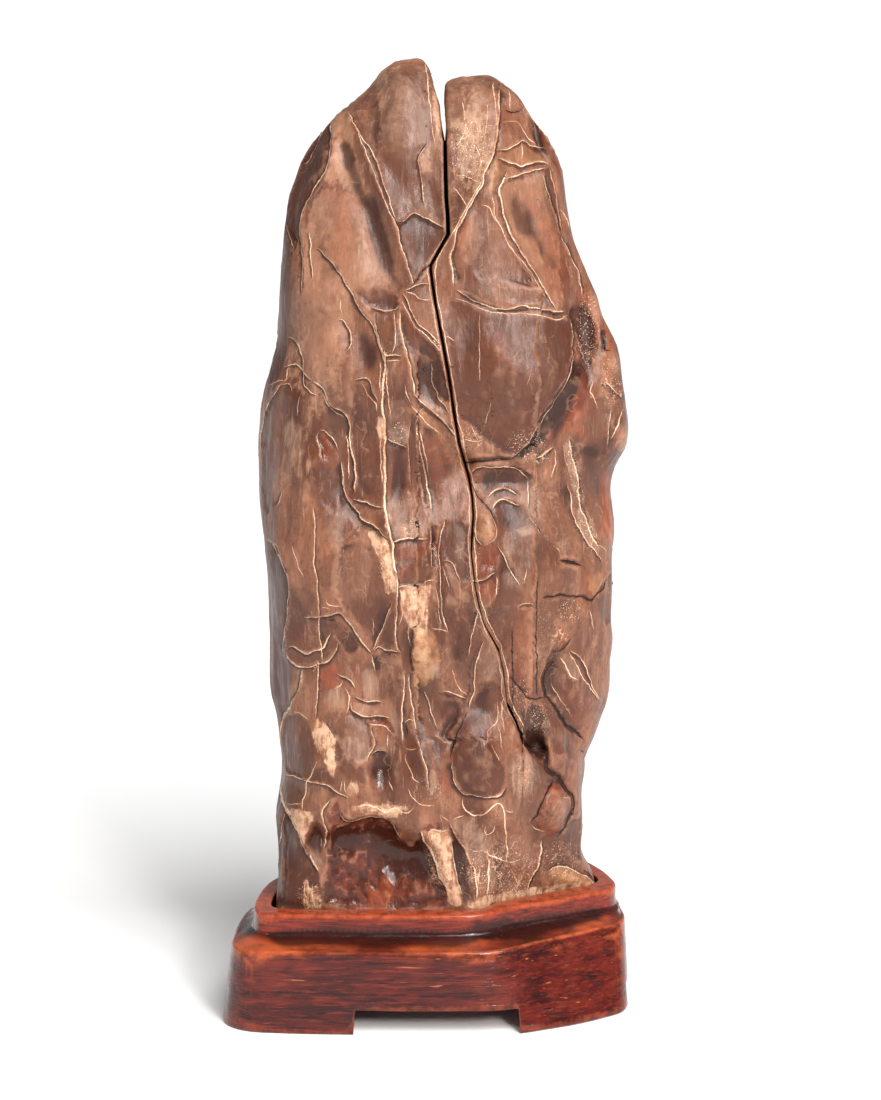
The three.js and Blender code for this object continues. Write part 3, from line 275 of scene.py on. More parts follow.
# %% Plate edges, lower part
EDGES += as_lines(4, (
    ("left", 2.0, 0.6, MAIN, 303,670, 299,690, 293,700, 290,707, 285,714, 282,722, 280,732, 280,742),
    (None, 0, 0.3, FAINT, 292,710, 300,714, 306,718, 310,720),
    ("right", 0.6, 0.4, THIN, 324,723, 330,732, 336,740),
    ("below", 0.9, 0.6, THIN, 336,674, 340,676, 346,678, 350,680, 354,684, 356,690),
    (None, 0, 0.4, THIN, 343,680, 342,685, 337,688, 332,690),
    (None, 0, 0.4, THIN, 346,686, 348,692, 349,698, 348,708, 345,715),
    ("below", 1.1, 0.7, THIN, 354,695, 360,700, 368,702, 375,700, 383,702),
    ("below", 1.3, 0.7, THIN, 350,702, 350,708, 353,712, 360,715, 368,717, 380,715, 390,718),
    (None, 0, 0.4, THIN, 368,724, 378,725, 383,726, 390,731, 395,738),
    ("right", 0.6, 0.4, THIN, 371,725, 372,733, 376,743, 372,750, 368,756, 367,763),
    (None, 0, 0.4, THIN, 388,733, 388,742, 387,748),
    ("below", 2.0, 0.3, FAINT, 370,757, 375,751, 382,750, 388,752),
    (None, 0, 0.4, THIN, 388,780, 390,786, 393,792),
    ("right", 0.7, 0.5, THIN, 404,672, 404,690, 404,700, 402,712, 402,733, 403,745),
    ("right", 0.5, 0.3, THIN, 409,672, 410,690, 412,702, 413,712, 417,735, 424,760, 430,790),
    (None, 0, 0, THIN, 404,724, 407,720, 410,720, 414,722),
    (None, 0, 0, MAIN, 404,748, 410,750, 418,749),
    (None, 0, 0.5, THIN, 404,752, 407,765, 411,772, 413,780, 420,783),
    (None, 0, 0.5, THIN, 407,788, 411,797, 416,801, 425,805, 435,806),
    ("left", 0.6, 0.4, THIN, 424,690, 428,700, 433,715, 437,730),
    ("below", 0.5, 0.7, THIN, 283,774, 293,776, 300,779, 307,781, 321,784, 328,785, 332,788, 338,793, 345,795,
     350,798),
    (None, 0, 0.4, THIN, 318,761, 316,764, 313,770, 310,777, 307,781, 306,790, 304,798, 303,805, 302,811),
    (None, 0, 0.3, FAINT, 285,763, 284,773),
    (None, 0, 0.3, THIN, 286,804, 296,804, 303,805),
    (None, 0, 0.6, THIN, 342,780, 341,790, 340,793),
    (None, 0, 0.6, THIN, 344,781, 345,788, 347,795),
    (None, 0, 0.6, THIN, 348,783, 353,786, 356,792, 358,797),
    ("left", 2.6, 0.7, THICK, 281,775, 280,790, 282,800, 285,806, 290,817, 295,826, 300,837, 304,847, 312,861,
     318,872),
    (None, 0, 0.3, FAINT, 285,812, 283,822, 281,835, 279,847),
    ("right", 0.5, 0.5, MAIN, 330,800, 326,805, 322,809, 322,815, 324,823, 326,832, 326,840, 324,850),
    (None, 0, 0.4, THIN, 320,805, 322,809),
    (None, 0, 0.4, THIN, 322,837, 321,848),
    (None, 0, 0.5, MAIN, 325,856, 333,855),
    (None, 0, 0.4, MAIN, 306,878, 304,890, 308,907),
    (None, 0, 0.4, MAIN, 313,885, 312,896, 315,907),
    ("below", 2.6, 0.3, FAINT, 340,812, 342,818, 346,821, 351,822, 357,820, 363,817, 375,818, 382,817, 388,820,
     392,823, 396,830, 400,838),
    (None, 0, 0.7, MAIN, 353,806, 360,807, 367,804, 373,806, 380,810, 386,813, 392,808, 397,809, 403,813,
     410,812, 415,806),
    ("left", 1.6, 0.9, THICK, 421,832, 424,842, 431,850, 436,862, 438,875, 444,885, 449,897),
    (None, 0, 0.8, MAIN, 430,830, 440,831, 449,830),
    ("right", 1.6, 0.6, THIN, 451,840, 453,855, 456,870, 458,885, 462,895),
    ("left", 0.8, 0.4, MAIN, 450,823, 455,832, 460,842, 466,850, 469,857, 472,865, 476,872, 477,885, 476,900),
    ("left", 1.8, 0.1, 0, 467,712, 465,720, 459,727, 455,738, 452,748, 450,757),
    ("below", 1.8, 0.7, THIN, 453,760, 452,770, 455,783, 460,790, 465,795, 470,794, 483,797, 490,798, 500,796,
     504,790, 506,785),
    ("left", 0.9, 0.5, THIN, 484,640, 481,650, 478,658, 475,668, 475,685, 473,695, 471,703, 469,710),
    (None, 0, 0.5, THIN, 452,668, 455,677, 458,686, 461,691, 466,694, 468,697),
    ("below", 1.1, 0.6, THIN, 442,691, 447,692, 455,694, 461,697, 468,699),
    (None, 0, 0.4, THIN, 497,700, 498,712, 498,722, 492,727, 487,732, 489,737, 484,745),
    (None, 0, 0.4, THIN, 497,722, 500,731, 501,740, 503,750),
    (None, 0, 0.4, FAINT, 490,742, 494,750, 498,756, 499,763),
    (None, 0, 0.4, THIN, 501,700, 502,715, 504,725, 505,732),
    (None, 0, 0.4, MAIN, 462,799, 463,806, 468,812, 473,816, 481,815, 488,811, 494,806, 499,802, 503,806,
     505,812, 505,825, 506,838, 507,850, 507,862),
    (None, 0, 0.4, THIN, 451,821, 457,818, 463,817, 466,815),
    (None, 0, 0.4, MAIN, 470,850, 476,852, 485,850, 490,856, 497,858, 504,861, 508,862),
    (None, 0, 0.4, THIN, 486,825, 485,835, 490,836, 494,832, 495,825),
    (None, 0, 0.4, THIN, 507,850, 512,846, 513,841, 519,842),
    (None, 0, 0.4, MAIN, 508,862, 515,863, 519,861),
    (None, 0, 0.4, MAIN, 511,868, 515,878, 519,886),
    (None, 0, 0.4, MAIN, 487,853, 489,865, 488,885, 487,895),
    (None, 0, 0.4, THIN, 480,866, 479,885),
    (None, 0, 0.4, THIN, 505,810, 511,811, 515,812),
    ("right", 0.6, 0.5, MAIN, 541,840, 541,853, 538,868, 533,872, 530,882, 527,892),
    (None, 0, 0.4, THIN, 531,824, 535,829, 546,832),
    (None, 0, 0.5, MAIN, 563,797, 571,798),
    ("above", 0.8, 0.4, THIN, 548,872, 555,866, 565,866, 573,869, 580,874, 588,878, 596,883),
))
print(len(EDGES), "plate edges so far")

# %% Fine pale lines of the top
EDGES += [(None, 0, 0.2, THIN, in_pairs(line)) for line in (
    (425,62, 427,75, 428,90, 430,105, 431,120, 433,135, 436,150),
    (463,100, 464,112, 466,130, 462,140, 455,147),
    (487,100, 488,118, 486,130, 484,142),
    (486,127, 490,126, 495,127),
    (468,135, 470,122, 475,120, 480,128, 481,140),
    (470,145, 476,147, 480,155, 481,165),
    (493,80, 495,100, 497,120, 499,135),
    (509,88, 510,100, 510,110),
    (502,123, 510,120, 518,122, 524,132, 530,140, 537,146),
    (480,205, 488,206, 492,212, 497,222, 503,232, 510,248, 516,255),
    (452,186, 458,192, 463,200, 467,207),
    (482,180, 478,190, 472,198, 467,207, 461,217, 456,228, 450,236),
    (529,517, 535,525, 540,531, 545,536, 550,541, 556,548, 560,552),
    (440,815, 445,819, 451,821),
    (440,815, 442,822, 443,830),
    (521,725, 523,733, 526,742),
)]
for shift, half in ((3.4, THIN), (-3.2, FAINT)):
    EDGES.append((None, 0, 0.15, half, [(x + shift, y) for x, y in in_pairs(CLEFT)[2:]]))
print(len(EDGES), "plate edges in all")

# %% [markdown]
# ## Cracks, hollows and swellings of the front
# Open cracks are the dark lines. They are cut as grooves: depth and half width in millimetres, then the line.
# The first one is already a real groove in the CAD solid, so its depth is 0 and it only asks for a fine mesh.
# The soft forms are ovals, because a wide low swelling has no line: height in millimetres, then the middle
# and the half sizes in columns and rows, and a turn in degrees.

# %% Cracks and soft forms
CRACKS = as_lines(2, (
    (0, 0.9, *CLEFT),
    (2.5, 0.9, 430,264, 421,274, 416,282, 411,288),
    (1.6, 0.6, 468,476, 471,484, 476,493, 481,501, 486,506, 491,510, 494,518, 498,526),
    (3.5, 1.3, 464,463, 476,462, 491,460, 499,459, 510,460),
    (2.5, 1.0, 538,430, 532,443, 526,449, 518,454, 510,460),
    (1.4, 0.5, 530,519, 536,525, 541,532, 549,540, 558,550),
    (2.4, 1.2, 559,560, 568,561, 576,564, 583,566),
    (2.4, 0.8, 542,597, 551,597, 559,595, 565,595, 574,597, 583,597, 591,601, 595,599, 598,594, 602,590,
     606,578),
    (1.4, 0.5, 550,653, 559,652, 565,647, 570,639, 573,637),
    (3.0, 0.9, 554,660, 550,666, 545,671, 543,680, 545,690, 544,695, 550,701, 554,706, 560,716, 565,724,
     571,728, 584,740),
    (1.8, 0.7, 544,697, 540,698, 535,699, 528,698, 524,694, 518,686, 513,680, 508,675),
    (3.5, 1.5, 521,727, 523,741, 529,747, 536,749, 547,749),
    (3.2, 1.2, 547,749, 546,759, 548,770, 552,774, 558,775, 560,780, 565,788, 571,794, 574,800, 574,808,
     571,815, 567,822, 561,832, 556,838),
    (2.0, 0.7, 553,779, 550,788, 545,796, 541,805, 537,815, 533,820, 531,824),
    (1.4, 0.7, 580,749, 584,754),
    (1.0, 0.4, 512,628, 512,660, 513,690, 512,720),
    (1.0, 0.4, 537,558, 537,600, 536,650, 537,698),
    (1.8, 0.9, 602,330, 602,340, 603,350, 612,350),
    (1.6, 0.8, 467,712, 463,722, 456,735, 451,750, 450,758),
    (1.2, 0.6, 504,110, 512,113, 523,109),
    (1.0, 0.5, 322,619, 331,621, 338,620),
    (1.6, 0.8, 583,870, 588,874, 594,879),
))

SWELLINGS = (
    (-1.6, 372, 205, 9, 70, -17), (1.6, 345, 205, 20, 55, 8), (1.2, 395, 110, 12, 50, 4),
    (-1.2, 425, 120, 14, 46, 0), (1.4, 478, 235, 16, 40, 22), (-1.4, 520, 215, 18, 36, -22),
    (1.2, 500, 345, 18, 34, 0), (-1.2, 466, 350, 10, 40, 6), (1.0, 545, 345, 18, 30, 0),
    (-1.6, 425, 372, 12, 34, -10), (1.0, 330, 300, 16, 36, 20), (-1.2, 365, 350, 10, 34, 0),
    (1.2, 300, 450, 20, 50, 0), (-1.2, 332, 470, 12, 46, 0), (1.3, 368, 455, 12, 40, 0),
    (-1.0, 398, 480, 10, 36, 0), (1.2, 442, 470, 12, 40, -8), (1.5, 485, 528, 10, 18, 0),
    (-1.4, 508, 520, 14, 16, 0), (1.4, 345, 575, 22, 34, 0), (-1.2, 300, 600, 12, 36, 0),
    (1.4, 410, 562, 14, 20, 0), (1.4, 414, 612, 12, 22, 0), (1.6, 428, 652, 12, 22, 0),
    (-1.4, 380, 615, 10, 30, 12), (1.2, 455, 600, 10, 44, 0), (-1.0, 470, 640, 9, 26, 8),
    (1.4, 490, 672, 12, 30, -8), (1.2, 526, 650, 10, 40, 0), (1.6, 578, 690, 18, 26, 30),
    (-1.8, 566, 610, 16, 12, 0), (1.4, 355, 650, 14, 20, 30), (-1.4, 318, 640, 14, 12, 0),
    (1.6, 300, 745, 14, 28, 0), (1.4, 355, 745, 16, 22, 0), (-2.4, 382, 772, 12, 18, 8),
    (2.0, 478, 752, 22, 36, 6), (-2.6, 538, 750, 11, 7, 0), (1.8, 552, 805, 14, 20, 20),
    (1.6, 522, 775, 14, 18, 0), (1.6, 300, 815, 12, 22, -20), (-2.2, 348, 842, 16, 16, 0),
    (-2.6, 388, 850, 16, 20, 0), (-2.0, 365, 885, 22, 18, 0), (2.2, 438, 865, 8, 28, -14),
    (-2.4, 461, 872, 8, 30, -8), (1.6, 525, 860, 20, 22, 0), (1.8, 570, 874, 18, 8, 20),
    (1.2, 618, 430, 10, 20, 10), (-1.4, 590, 420, 14, 40, 0), (1.2, 585, 500, 16, 40, -12),
)
print(len(CRACKS), "cracks and", len(SWELLINGS), "soft forms")

# %% [markdown]
# ## Patches of other colour
# Besides its brown-red, the stone shows cream and tan mineral, orange rust, grey bloom, plum-grey parts, glossy
# maroon hollows and rough crust. Some of the bloom ovals carry a painted sheen as well, and the dark ovals are
# painted shade: in recesses, under the overhang and on the flank that turns away from the light. Each kind is a
# list of ovals: the middle and the half sizes in columns and rows, the strength and a turn in degrees. Noise
# alone would lay the patches anywhere. The ovals say where they are, and the material breaks their borders up
# with noise, so no oval shows as one.

# %% Patches
PATCHES = {
    "cream": [
        (381, 427, 5, 11, 1.0, 0), (384, 552, 6, 22, 1.1, -22), (391, 580, 4, 14, 1.0, -14),
        (414, 603, 13, 22, 1.15, 4), (420, 630, 7, 14, 0.9, 0), (321, 738, 7, 19, 1.1, -14),
        (331, 762, 5, 17, 1.1, -8), (437, 858, 8, 26, 0.95, -14), (444, 890, 5, 14, 0.9, -14),
        (306, 893, 5, 16, 0.9, 0), (318, 897, 5, 12, 0.8, 0), (480, 905, 12, 5, 1.0, 0),
        (505, 899, 16, 4, 1.0, 6), (540, 895, 20, 4, 1.0, 6), (575, 889, 18, 4, 1.0, 8),
        (436, 110, 3, 26, 1.0, -6), (385, 455, 3, 60, 0.5, 0), (388, 808, 22, 4, 0.7, 0),
        (353, 790, 6, 8, 0.8, 0), (572, 880, 18, 5, 0.6, 20),
    ],
    "tan": [
        (346, 124, 11, 14, 0.9, 0), (428, 652, 12, 26, 1.1, -8), (420, 676, 7, 14, 1.0, 0),
        (322, 798, 12, 10, 0.6, 0), (568, 877, 22, 10, 0.8, 20), (598, 585, 10, 16, 0.8, 0),
        (441, 838, 12, 12, 0.9, 0), (486, 530, 11, 18, 0.6, 0), (405, 530, 18, 10, 0.5, 0),
        (495, 170, 10, 14, 0.5, 0), (552, 812, 12, 18, 0.5, 20), (402, 70, 6, 8, 0.3, 0),
        (565, 870, 12, 30, 0.3, 0), (525, 606, 10, 4, 0.8, 0), (346, 300, 8, 30, 0.25, 20),
    ],
    "rust": [
        (332, 677, 12, 14, 0.8, 0), (588, 584, 7, 14, 0.9, 0), (610, 505, 7, 38, 0.8, 0),
        (610, 340, 9, 16, 0.9, 0), (448, 783, 8, 18, 0.8, 0), (379, 885, 14, 24, 1.0, 0),
        (358, 860, 7, 12, 0.8, 0), (561, 637, 8, 11, 0.8, 0), (588, 330, 12, 40, 0.85, 0),
        (545, 225, 14, 60, 0.45, -14), (560, 180, 14, 24, 0.4, 0), (500, 105, 26, 24, 0.35, 0),
        (568, 405, 16, 34, 0.8, 24), (590, 415, 16, 36, 0.5, 0), (536, 432, 12, 16, 0.5, 30),
        (362, 105, 6, 8, 0.4, 0), (345, 225, 20, 26, 0.35, 0), (330, 400, 18, 30, 0.3, 0),
        (327, 446, 7, 14, 0.7, 0), (398, 700, 8, 26, 0.3, 0), (460, 235, 8, 22, 0.6, 20),
        (620, 440, 8, 14, 0.7, 20), (527, 380, 14, 34, 0.3, 0), (474, 590, 20, 18, 0.3, 0),
        (482, 560, 16, 20, 0.45, 0), (552, 800, 14, 22, 0.5, 20), (270, 600, 6, 80, 0.3, 0),
    ],
    # Grey bloom, and in places painted sheen: the left face and the left peak's long highlight are among these
    # ovals.
    "bloom": [
        (350, 165, 14, 34, 0.5, 10), (395, 100, 9, 44, 0.55, 4), (362, 255, 26, 24, 0.35, 0),
        (292, 436, 12, 18, 0.7, 0), (300, 678, 5, 12, 0.7, 0), (333, 701, 10, 12, 0.8, 0),
        (356, 748, 18, 18, 0.6, 0), (475, 848, 20, 18, 1.0, 0), (470, 148, 20, 34, 0.7, 0),
        (370, 684, 9, 18, 0.6, 0), (574, 470, 6, 34, 0.8, -10), (588, 530, 8, 26, 0.8, -20),
        (415, 528, 15, 12, 0.9, 0), (399, 436, 11, 12, 0.8, 0), (298, 825, 9, 16, 0.9, -20),
        (433, 782, 6, 13, 0.7, 0), (432, 671, 8, 8, 0.8, 0), (523, 775, 13, 20, 0.5, 0),
        (565, 545, 6, 8, 0.7, 0), (530, 450, 18, 14, 0.5, 20), (516, 852, 24, 20, 0.5, 0),
        (300, 480, 16, 40, 0.4, 0), (478, 232, 14, 24, 0.35, 20), (312, 860, 8, 16, 0.5, -20),
        (330, 620, 14, 6, 0.5, 0), (440, 610, 8, 20, 0.3, 0), (560, 500, 12, 30, 0.3, 0),
        (400, 250, 12, 20, 0.3, 0), (292, 352, 7, 9, 0.6, 0), (500, 880, 30, 16, 0.5, 0),
    ],
    "plum": [
        (405, 130, 30, 70, 0.75, 0), (428, 190, 16, 40, 0.7, 0), (424, 248, 18, 24, 1.0, 30),
        (564, 345, 9, 34, 0.7, 0), (500, 380, 40, 50, 0.35, 0), (294, 790, 12, 14, 0.9, 0),
        (508, 516, 16, 16, 0.9, 0), (568, 576, 9, 9, 1.0, 0), (292, 862, 10, 36, 0.9, -20),
        (590, 490, 14, 40, 0.4, 0), (430, 372, 12, 36, 0.6, -10), (390, 345, 8, 20, 0.5, 0),
        (400, 480, 10, 34, 0.4, 0), (345, 570, 22, 34, 0.4, 0), (320, 640, 14, 10, 0.4, 0),
        (460, 640, 12, 30, 0.3, 0), (300, 745, 14, 26, 0.5, 0), (430, 745, 20, 30, 0.3, 0),
        (490, 735, 18, 20, 0.3, 0), (545, 600, 14, 30, 0.4, 0), (560, 515, 12, 30, 0.3, 0),
    ],
    "maroon": [
        (350, 845, 20, 24, 1.1, 0), (392, 850, 22, 26, 1.1, 0), (345, 885, 20, 26, 1.0, 0),
        (412, 885, 20, 24, 1.0, 0), (380, 830, 30, 10, 0.9, 0), (435, 532, 4, 9, 1.0, 0),
        (327, 446, 7, 14, 0.6, 0), (410, 562, 17, 20, 0.55, 0), (427, 827, 7, 4, 1.0, 0),
        (488, 558, 10, 16, 0.5, 0), (612, 338, 6, 10, 0.6, 0), (436, 600, 3, 30, 0.4, 0),
        (380, 722, 10, 6, 0.8, 0), (382, 772, 12, 18, 0.6, 8),
    ],
    # Painted shade: dark ovals where shade falls, in hollows, under the overhang and along the flank turned from
    # the light.
    "painted_shade": [
        (316, 158, 7, 34, 0.9, 22), (292, 290, 7, 60, 0.5, 0), (274, 610, 6, 60, 0.5, 0),
        (382, 768, 12, 18, 0.7, 8), (538, 750, 10, 6, 1.2, 0), (320, 774, 9, 8, 0.6, 0),
        (461, 870, 7, 34, 0.9, -8), (560, 398, 9, 26, 0.8, 34), (544, 424, 8, 14, 0.7, 30),
        (288, 870, 7, 34, 0.5, -10), (270, 560, 5, 50, 0.4, -6), (550, 205, 4, 34, 0.7, -14),
        (378, 205, 6, 60, 0.4, -17), (381, 303, 16, 8, 0.7, 0), (594, 345, 6, 20, 0.6, 0),
        (553, 664, 5, 10, 0.7, 0), (456, 735, 4, 20, 0.6, 12), (392, 622, 6, 26, 0.3, 12),
        (330, 625, 12, 5, 0.6, 0), (615, 455, 6, 12, 0.7, 20), (571, 562, 12, 3, 0.9, 0),
        (430, 440, 4, 40, 0.3, 0), (565, 760, 12, 12, 0.4, 0), (538, 762, 8, 14, 0.5, 0),
    ],
    "rough": [
        (588, 330, 12, 40, 1.0, 0), (528, 448, 26, 16, 1.0, 20), (571, 611, 13, 11, 1.0, 0),
        (560, 637, 8, 11, 0.8, 0), (500, 870, 40, 30, 0.8, 0), (560, 860, 30, 24, 0.6, 0),
        (399, 434, 11, 13, 0.9, 0), (470, 150, 22, 38, 0.8, 0), (415, 528, 15, 12, 0.8, 0),
        (438, 862, 12, 36, 0.9, -14), (575, 475, 8, 40, 0.7, -10), (588, 530, 10, 26, 0.7, -20),
        (612, 380, 12, 30, 0.7, 0), (388, 808, 26, 6, 0.8, 0), (523, 775, 14, 22, 0.6, 0),
        (540, 720, 12, 20, 0.7, 0), (520, 700, 12, 30, 0.5, 0), (430, 790, 20, 14, 0.5, 0),
        (308, 893, 14, 16, 0.6, 0), (385, 570, 8, 30, 0.5, -18), (414, 603, 12, 22, 0.5, 0),
        (328, 750, 8, 26, 0.6, -12), (540, 895, 50, 6, 1.0, 6), (545, 640, 16, 50, 0.4, 0),
        (525, 100, 14, 20, 0.5, 0), (470, 440, 14, 14, 0.7, 0),
    ],
}
print({name: len(ovals) for name, ovals in PATCHES.items()})

# %% [markdown]
# ## Plates
# Between the lines lie smooth plates, and next to each other they differ in tone and in tilt: that is what makes
# the stone look built up of slabs. Each plate is an outline with its tone, how strong the tone is, how soft its
# border is in millimetres, and its form: "left", "right" or "below" for a plate that leans down to that side,
# "in" for a sunken one and "out" for a swollen one, with the height in millimetres. The "shade" plates are
# painted shade, some "deep" and "maroon" plates are painted shade as well, and some "pale" plates are partly
# painted light, as noted where they stand.

# %% Plates of the upper part
PLATES = as_lines(5, (
    # The left flank turns away from the light: its "deep" plates are painted shade.
    ("deep", 1.2, 0.4, "left", 3.2, 330,122, 331,140, 330,155, 326,168, 319,181, 311,193, 303,206, 300,216,
     298,228, 295,240, 293,252, 288,240, 284,222, 283,200, 287,186, 295,170, 299,156, 308,144, 320,128),
    ("plum", 0.6, 1.0, None, 0, 327,126, 320,138, 313,152, 305,166, 299,160, 306,146, 318,131),
    ("deep", 0.9, 0.8, None, 0, 284,222, 289,235, 293,250, 291,265, 289,285, 288,310, 287,340, 284,362, 276,380,
     266,386, 268,362, 274,340, 275,310, 277,275, 280,245),
    ("bloom", 0.55, 1.6, None, 0, 291,258, 297,262, 299,285, 300,310, 303,335, 306,352, 298,345, 292,330,
     290,300),
    # The "pale" plates of the upper left slope are partly paler stone and partly painted light, as that slope is
    # lit strongly.
    ("pale", 1.3, 2.4, None, 0, 331,122, 346,112, 352,140, 358,165, 366,190, 372,203, 360,200, 345,184, 322,184,
     330,160),
    ("tan", 0.9, 1.0, None, 0, 331,122, 340,113, 348,117, 352,132, 357,152, 361,168, 355,160, 347,140, 338,132,
     331,134),
    ("deep", 0.2, 3.0, "in", 1.3, 349,116, 356,130, 364,150, 374,172, 386,200, 396,225, 404,250, 411,272,
     413,284, 404,292, 399,303, 392,296, 397,280, 394,262, 388,240, 380,215, 372,198, 362,172, 356,152,
     352,135),
    ("plum", 0.9, 1.4, "right", 0.8, 352,104, 368,94, 379,96, 380,130, 379,152, 374,160, 366,145, 357,125),
    ("rust", 0.5, 1.6, None, 0, 358,104, 368,100, 372,110, 366,122, 360,116),
    # Painted sheen down the left peak, laid as a bloom plate.
    ("bloom", 0.8, 1.2, None, 0, 374,82, 384,68, 389,78, 388,98, 384,112, 381,130, 379,150, 377,120, 379,98),
    ("plum", 0.55, 2.0, None, 0, 388,72, 426,62, 430,100, 436,140, 420,156, 400,152, 384,150, 386,110),
    ("bloom", 0.45, 3.0, None, 0, 410,96, 420,92, 426,120, 428,142, 418,150, 410,130),
    ("deep", 0.55, 2.4, None, 0, 380,156, 396,150, 416,160, 421,180, 425,206, 412,211, 402,221, 396,221,
     388,198, 382,175),
    ("deep", 0.6, 0.6, "in", 0.8, 422,176, 430,168, 436,180, 441,200, 445,226, 430,219, 425,206, 423,190),
    ("pale", 0.9, 1.0, None, 0, 419,158, 428,142, 431,158, 434,178, 427,180, 420,166),
    ("plum", 1.0, 0.4, "in", 1.3, 396,222, 404,221, 409,216, 418,213, 430,219, 446,228, 448,235, 440,250,
     428,264, 416,281, 412,270, 404,255, 400,240),
    ("deep", 0.5, 0.4, None, 0, 396,222, 409,216, 418,213, 430,219, 446,228, 448,235, 440,250, 428,264, 416,281,
     404,255, 400,240),
    ("deep", 0.45, 2.5, "below", 1.5, 352,290, 358,288, 371,290, 377,284, 388,293, 395,293, 400,302, 399,308,
     392,311, 378,310, 369,306, 362,300),
    ("bloom", 0.7, 1.6, None, 0, 358,245, 366,238, 372,262, 376,285, 366,290, 357,286, 356,265),
    ("pale", 0.7, 2.4, "out", 1.0, 374,262, 380,248, 390,252, 397,272, 396,282, 390,294, 382,286, 375,275),
    ("rust", 0.5, 4.0, None, 0, 330,190, 345,186, 352,205, 352,240, 348,278, 335,264, 332,240, 335,215),
    # A wide "pale" plate over the upper left face: partly paler stone, partly painted light.
    ("pale", 0.75, 6.0, None, 0, 302,215, 330,186, 366,200, 384,240, 398,285, 362,292, 345,350, 332,410,
     304,404, 296,330, 296,260),
    ("tan", 0.3, 3.0, None, 0, 331,222, 342,226, 350,222, 352,240, 347,246, 338,244, 331,238),
    ("plum", 0.6, 3.0, None, 0, 352,205, 368,207, 374,225, 368,250, 362,240, 354,235),
    ("plum", 0.5, 2.0, None, 0, 304,205, 322,192, 328,215, 320,245, 312,250, 306,235),
    ("deep", 0.4, 0.4, "in", 0.9, 376,312, 394,312, 396,335, 393,355, 384,357, 378,338),
    ("plum", 0.6, 0.4, "in", 0.5, 411,291, 424,285, 432,287, 434,299, 420,299),
    ("pale", 0.35, 0.5, None, 0, 409,301, 433,301, 438,318, 442,338, 431,334, 421,325, 413,313),
    ("deep", 0.75, 0.9, "right", 1.5, 402,304, 408,320, 418,333, 430,342, 438,352, 441,367, 446,385, 450,405,
     440,400, 434,388, 431,370, 430,357, 420,352, 412,356, 407,345, 402,325),
    ("bloom", 0.8, 1.2, None, 0, 406,350, 413,356, 420,375, 428,395, 440,410, 448,420, 441,418, 430,409,
     419,399, 414,394, 411,375),
    ("plum", 0.9, 1.5, "in", 1.6, 412,352, 430,358, 433,388, 440,402, 448,416, 440,410, 426,400, 416,384),
    ("pale", 0.3, 1.2, None, 0, 447,82, 495,76, 499,100, 494,150, 450,130),
    ("plum", 0.6, 1.6, None, 0, 446,95, 461,98, 464,125, 452,136, 446,122),
    ("cream", 0.4, 4.0, None, 0, 468,92, 480,96, 490,118, 494,146, 488,170, 474,196, 462,190, 454,165, 462,140,
     452,120, 464,112),
    ("tan", 0.6, 2.0, None, 0, 488,166, 497,156, 515,162, 520,168, 508,176, 500,186, 490,196, 484,186),
    ("tan", 0.4, 1.0, None, 0, 496,150, 518,144, 546,150, 546,161, 520,166, 498,158),
    ("pale", 0.35, 1.0, "out", 0.8, 503,86, 515,90, 522,105, 510,112, 503,108),
    ("deep", 0.7, 0.9, None, 0, 528,116, 536,124, 540,146, 534,142, 529,130),
    ("deep", 0.5, 0.5, "in", 0.7, 453,190, 467,206, 462,216, 455,228, 451,220, 451,200),
    ("pale", 0.5, 3.0, None, 0, 462,232, 474,212, 484,225, 480,255, 468,262, 460,248),
    ("plum", 0.35, 3.0, "right", 1.2, 480,208, 494,215, 512,250, 536,285, 540,302, 500,304, 478,280),
    ("pale", 0.6, 1.0, "left", 1.2, 503,180, 545,170, 552,210, 560,240, 560,290, 566,310, 552,306, 538,276,
     518,246, 506,215, 500,192),
    ("rust", 0.55, 4.0, None, 0, 520,200, 545,200, 560,240, 570,290, 566,310, 550,290, 540,250),
    ("deep", 0.8, 0.8, "in", 1.2, 544,170, 550,168, 554,185, 558,198, 561,218, 563,235, 557,222, 552,205,
     546,187),
    # The big panel below the ledge faces down: its "deep" tone is painted shade.
    ("deep", 0.75, 1.2, "below", 1.2, 450,300, 470,306, 483,313, 513,316, 540,317, 560,321, 571,320, 573,340,
     573,362, 567,382, 556,400, 546,414, 536,432, 526,449, 510,458, 482,440, 470,424, 459,418, 452,390, 448,360,
     444,335),
    ("plum", 0.7, 2.6, None, 0, 534,324, 566,324, 567,360, 556,388, 545,380, 535,350),
    ("plum", 0.6, 3.0, None, 0, 460,322, 490,322, 484,380, 470,404, 456,390),
    ("rust", 0.4, 4.0, None, 0, 490,332, 506,330, 504,360, 490,372, 484,352),
    ("pale", 0.4, 0.8, None, 0, 590,285, 598,300, 603,318, 600,328, 592,318, 586,298),
    ("rust", 0.7, 3.0, None, 0, 576,290, 586,290, 592,320, 602,330, 600,350, 594,372, 578,366, 575,340,
     578,310),
    ("deep", 0.55, 3.0, "in", 1.5, 578,300, 588,305, 594,330, 600,352, 592,372, 578,366, 576,340),
    ("rust", 0.9, 0.6, None, 0, 604,327, 612,328, 616,346, 611,350, 604,350),
    ("shade", 0.9, 0.8, "in", 1.5, 601,330, 606,328, 607,350, 600,351),
))

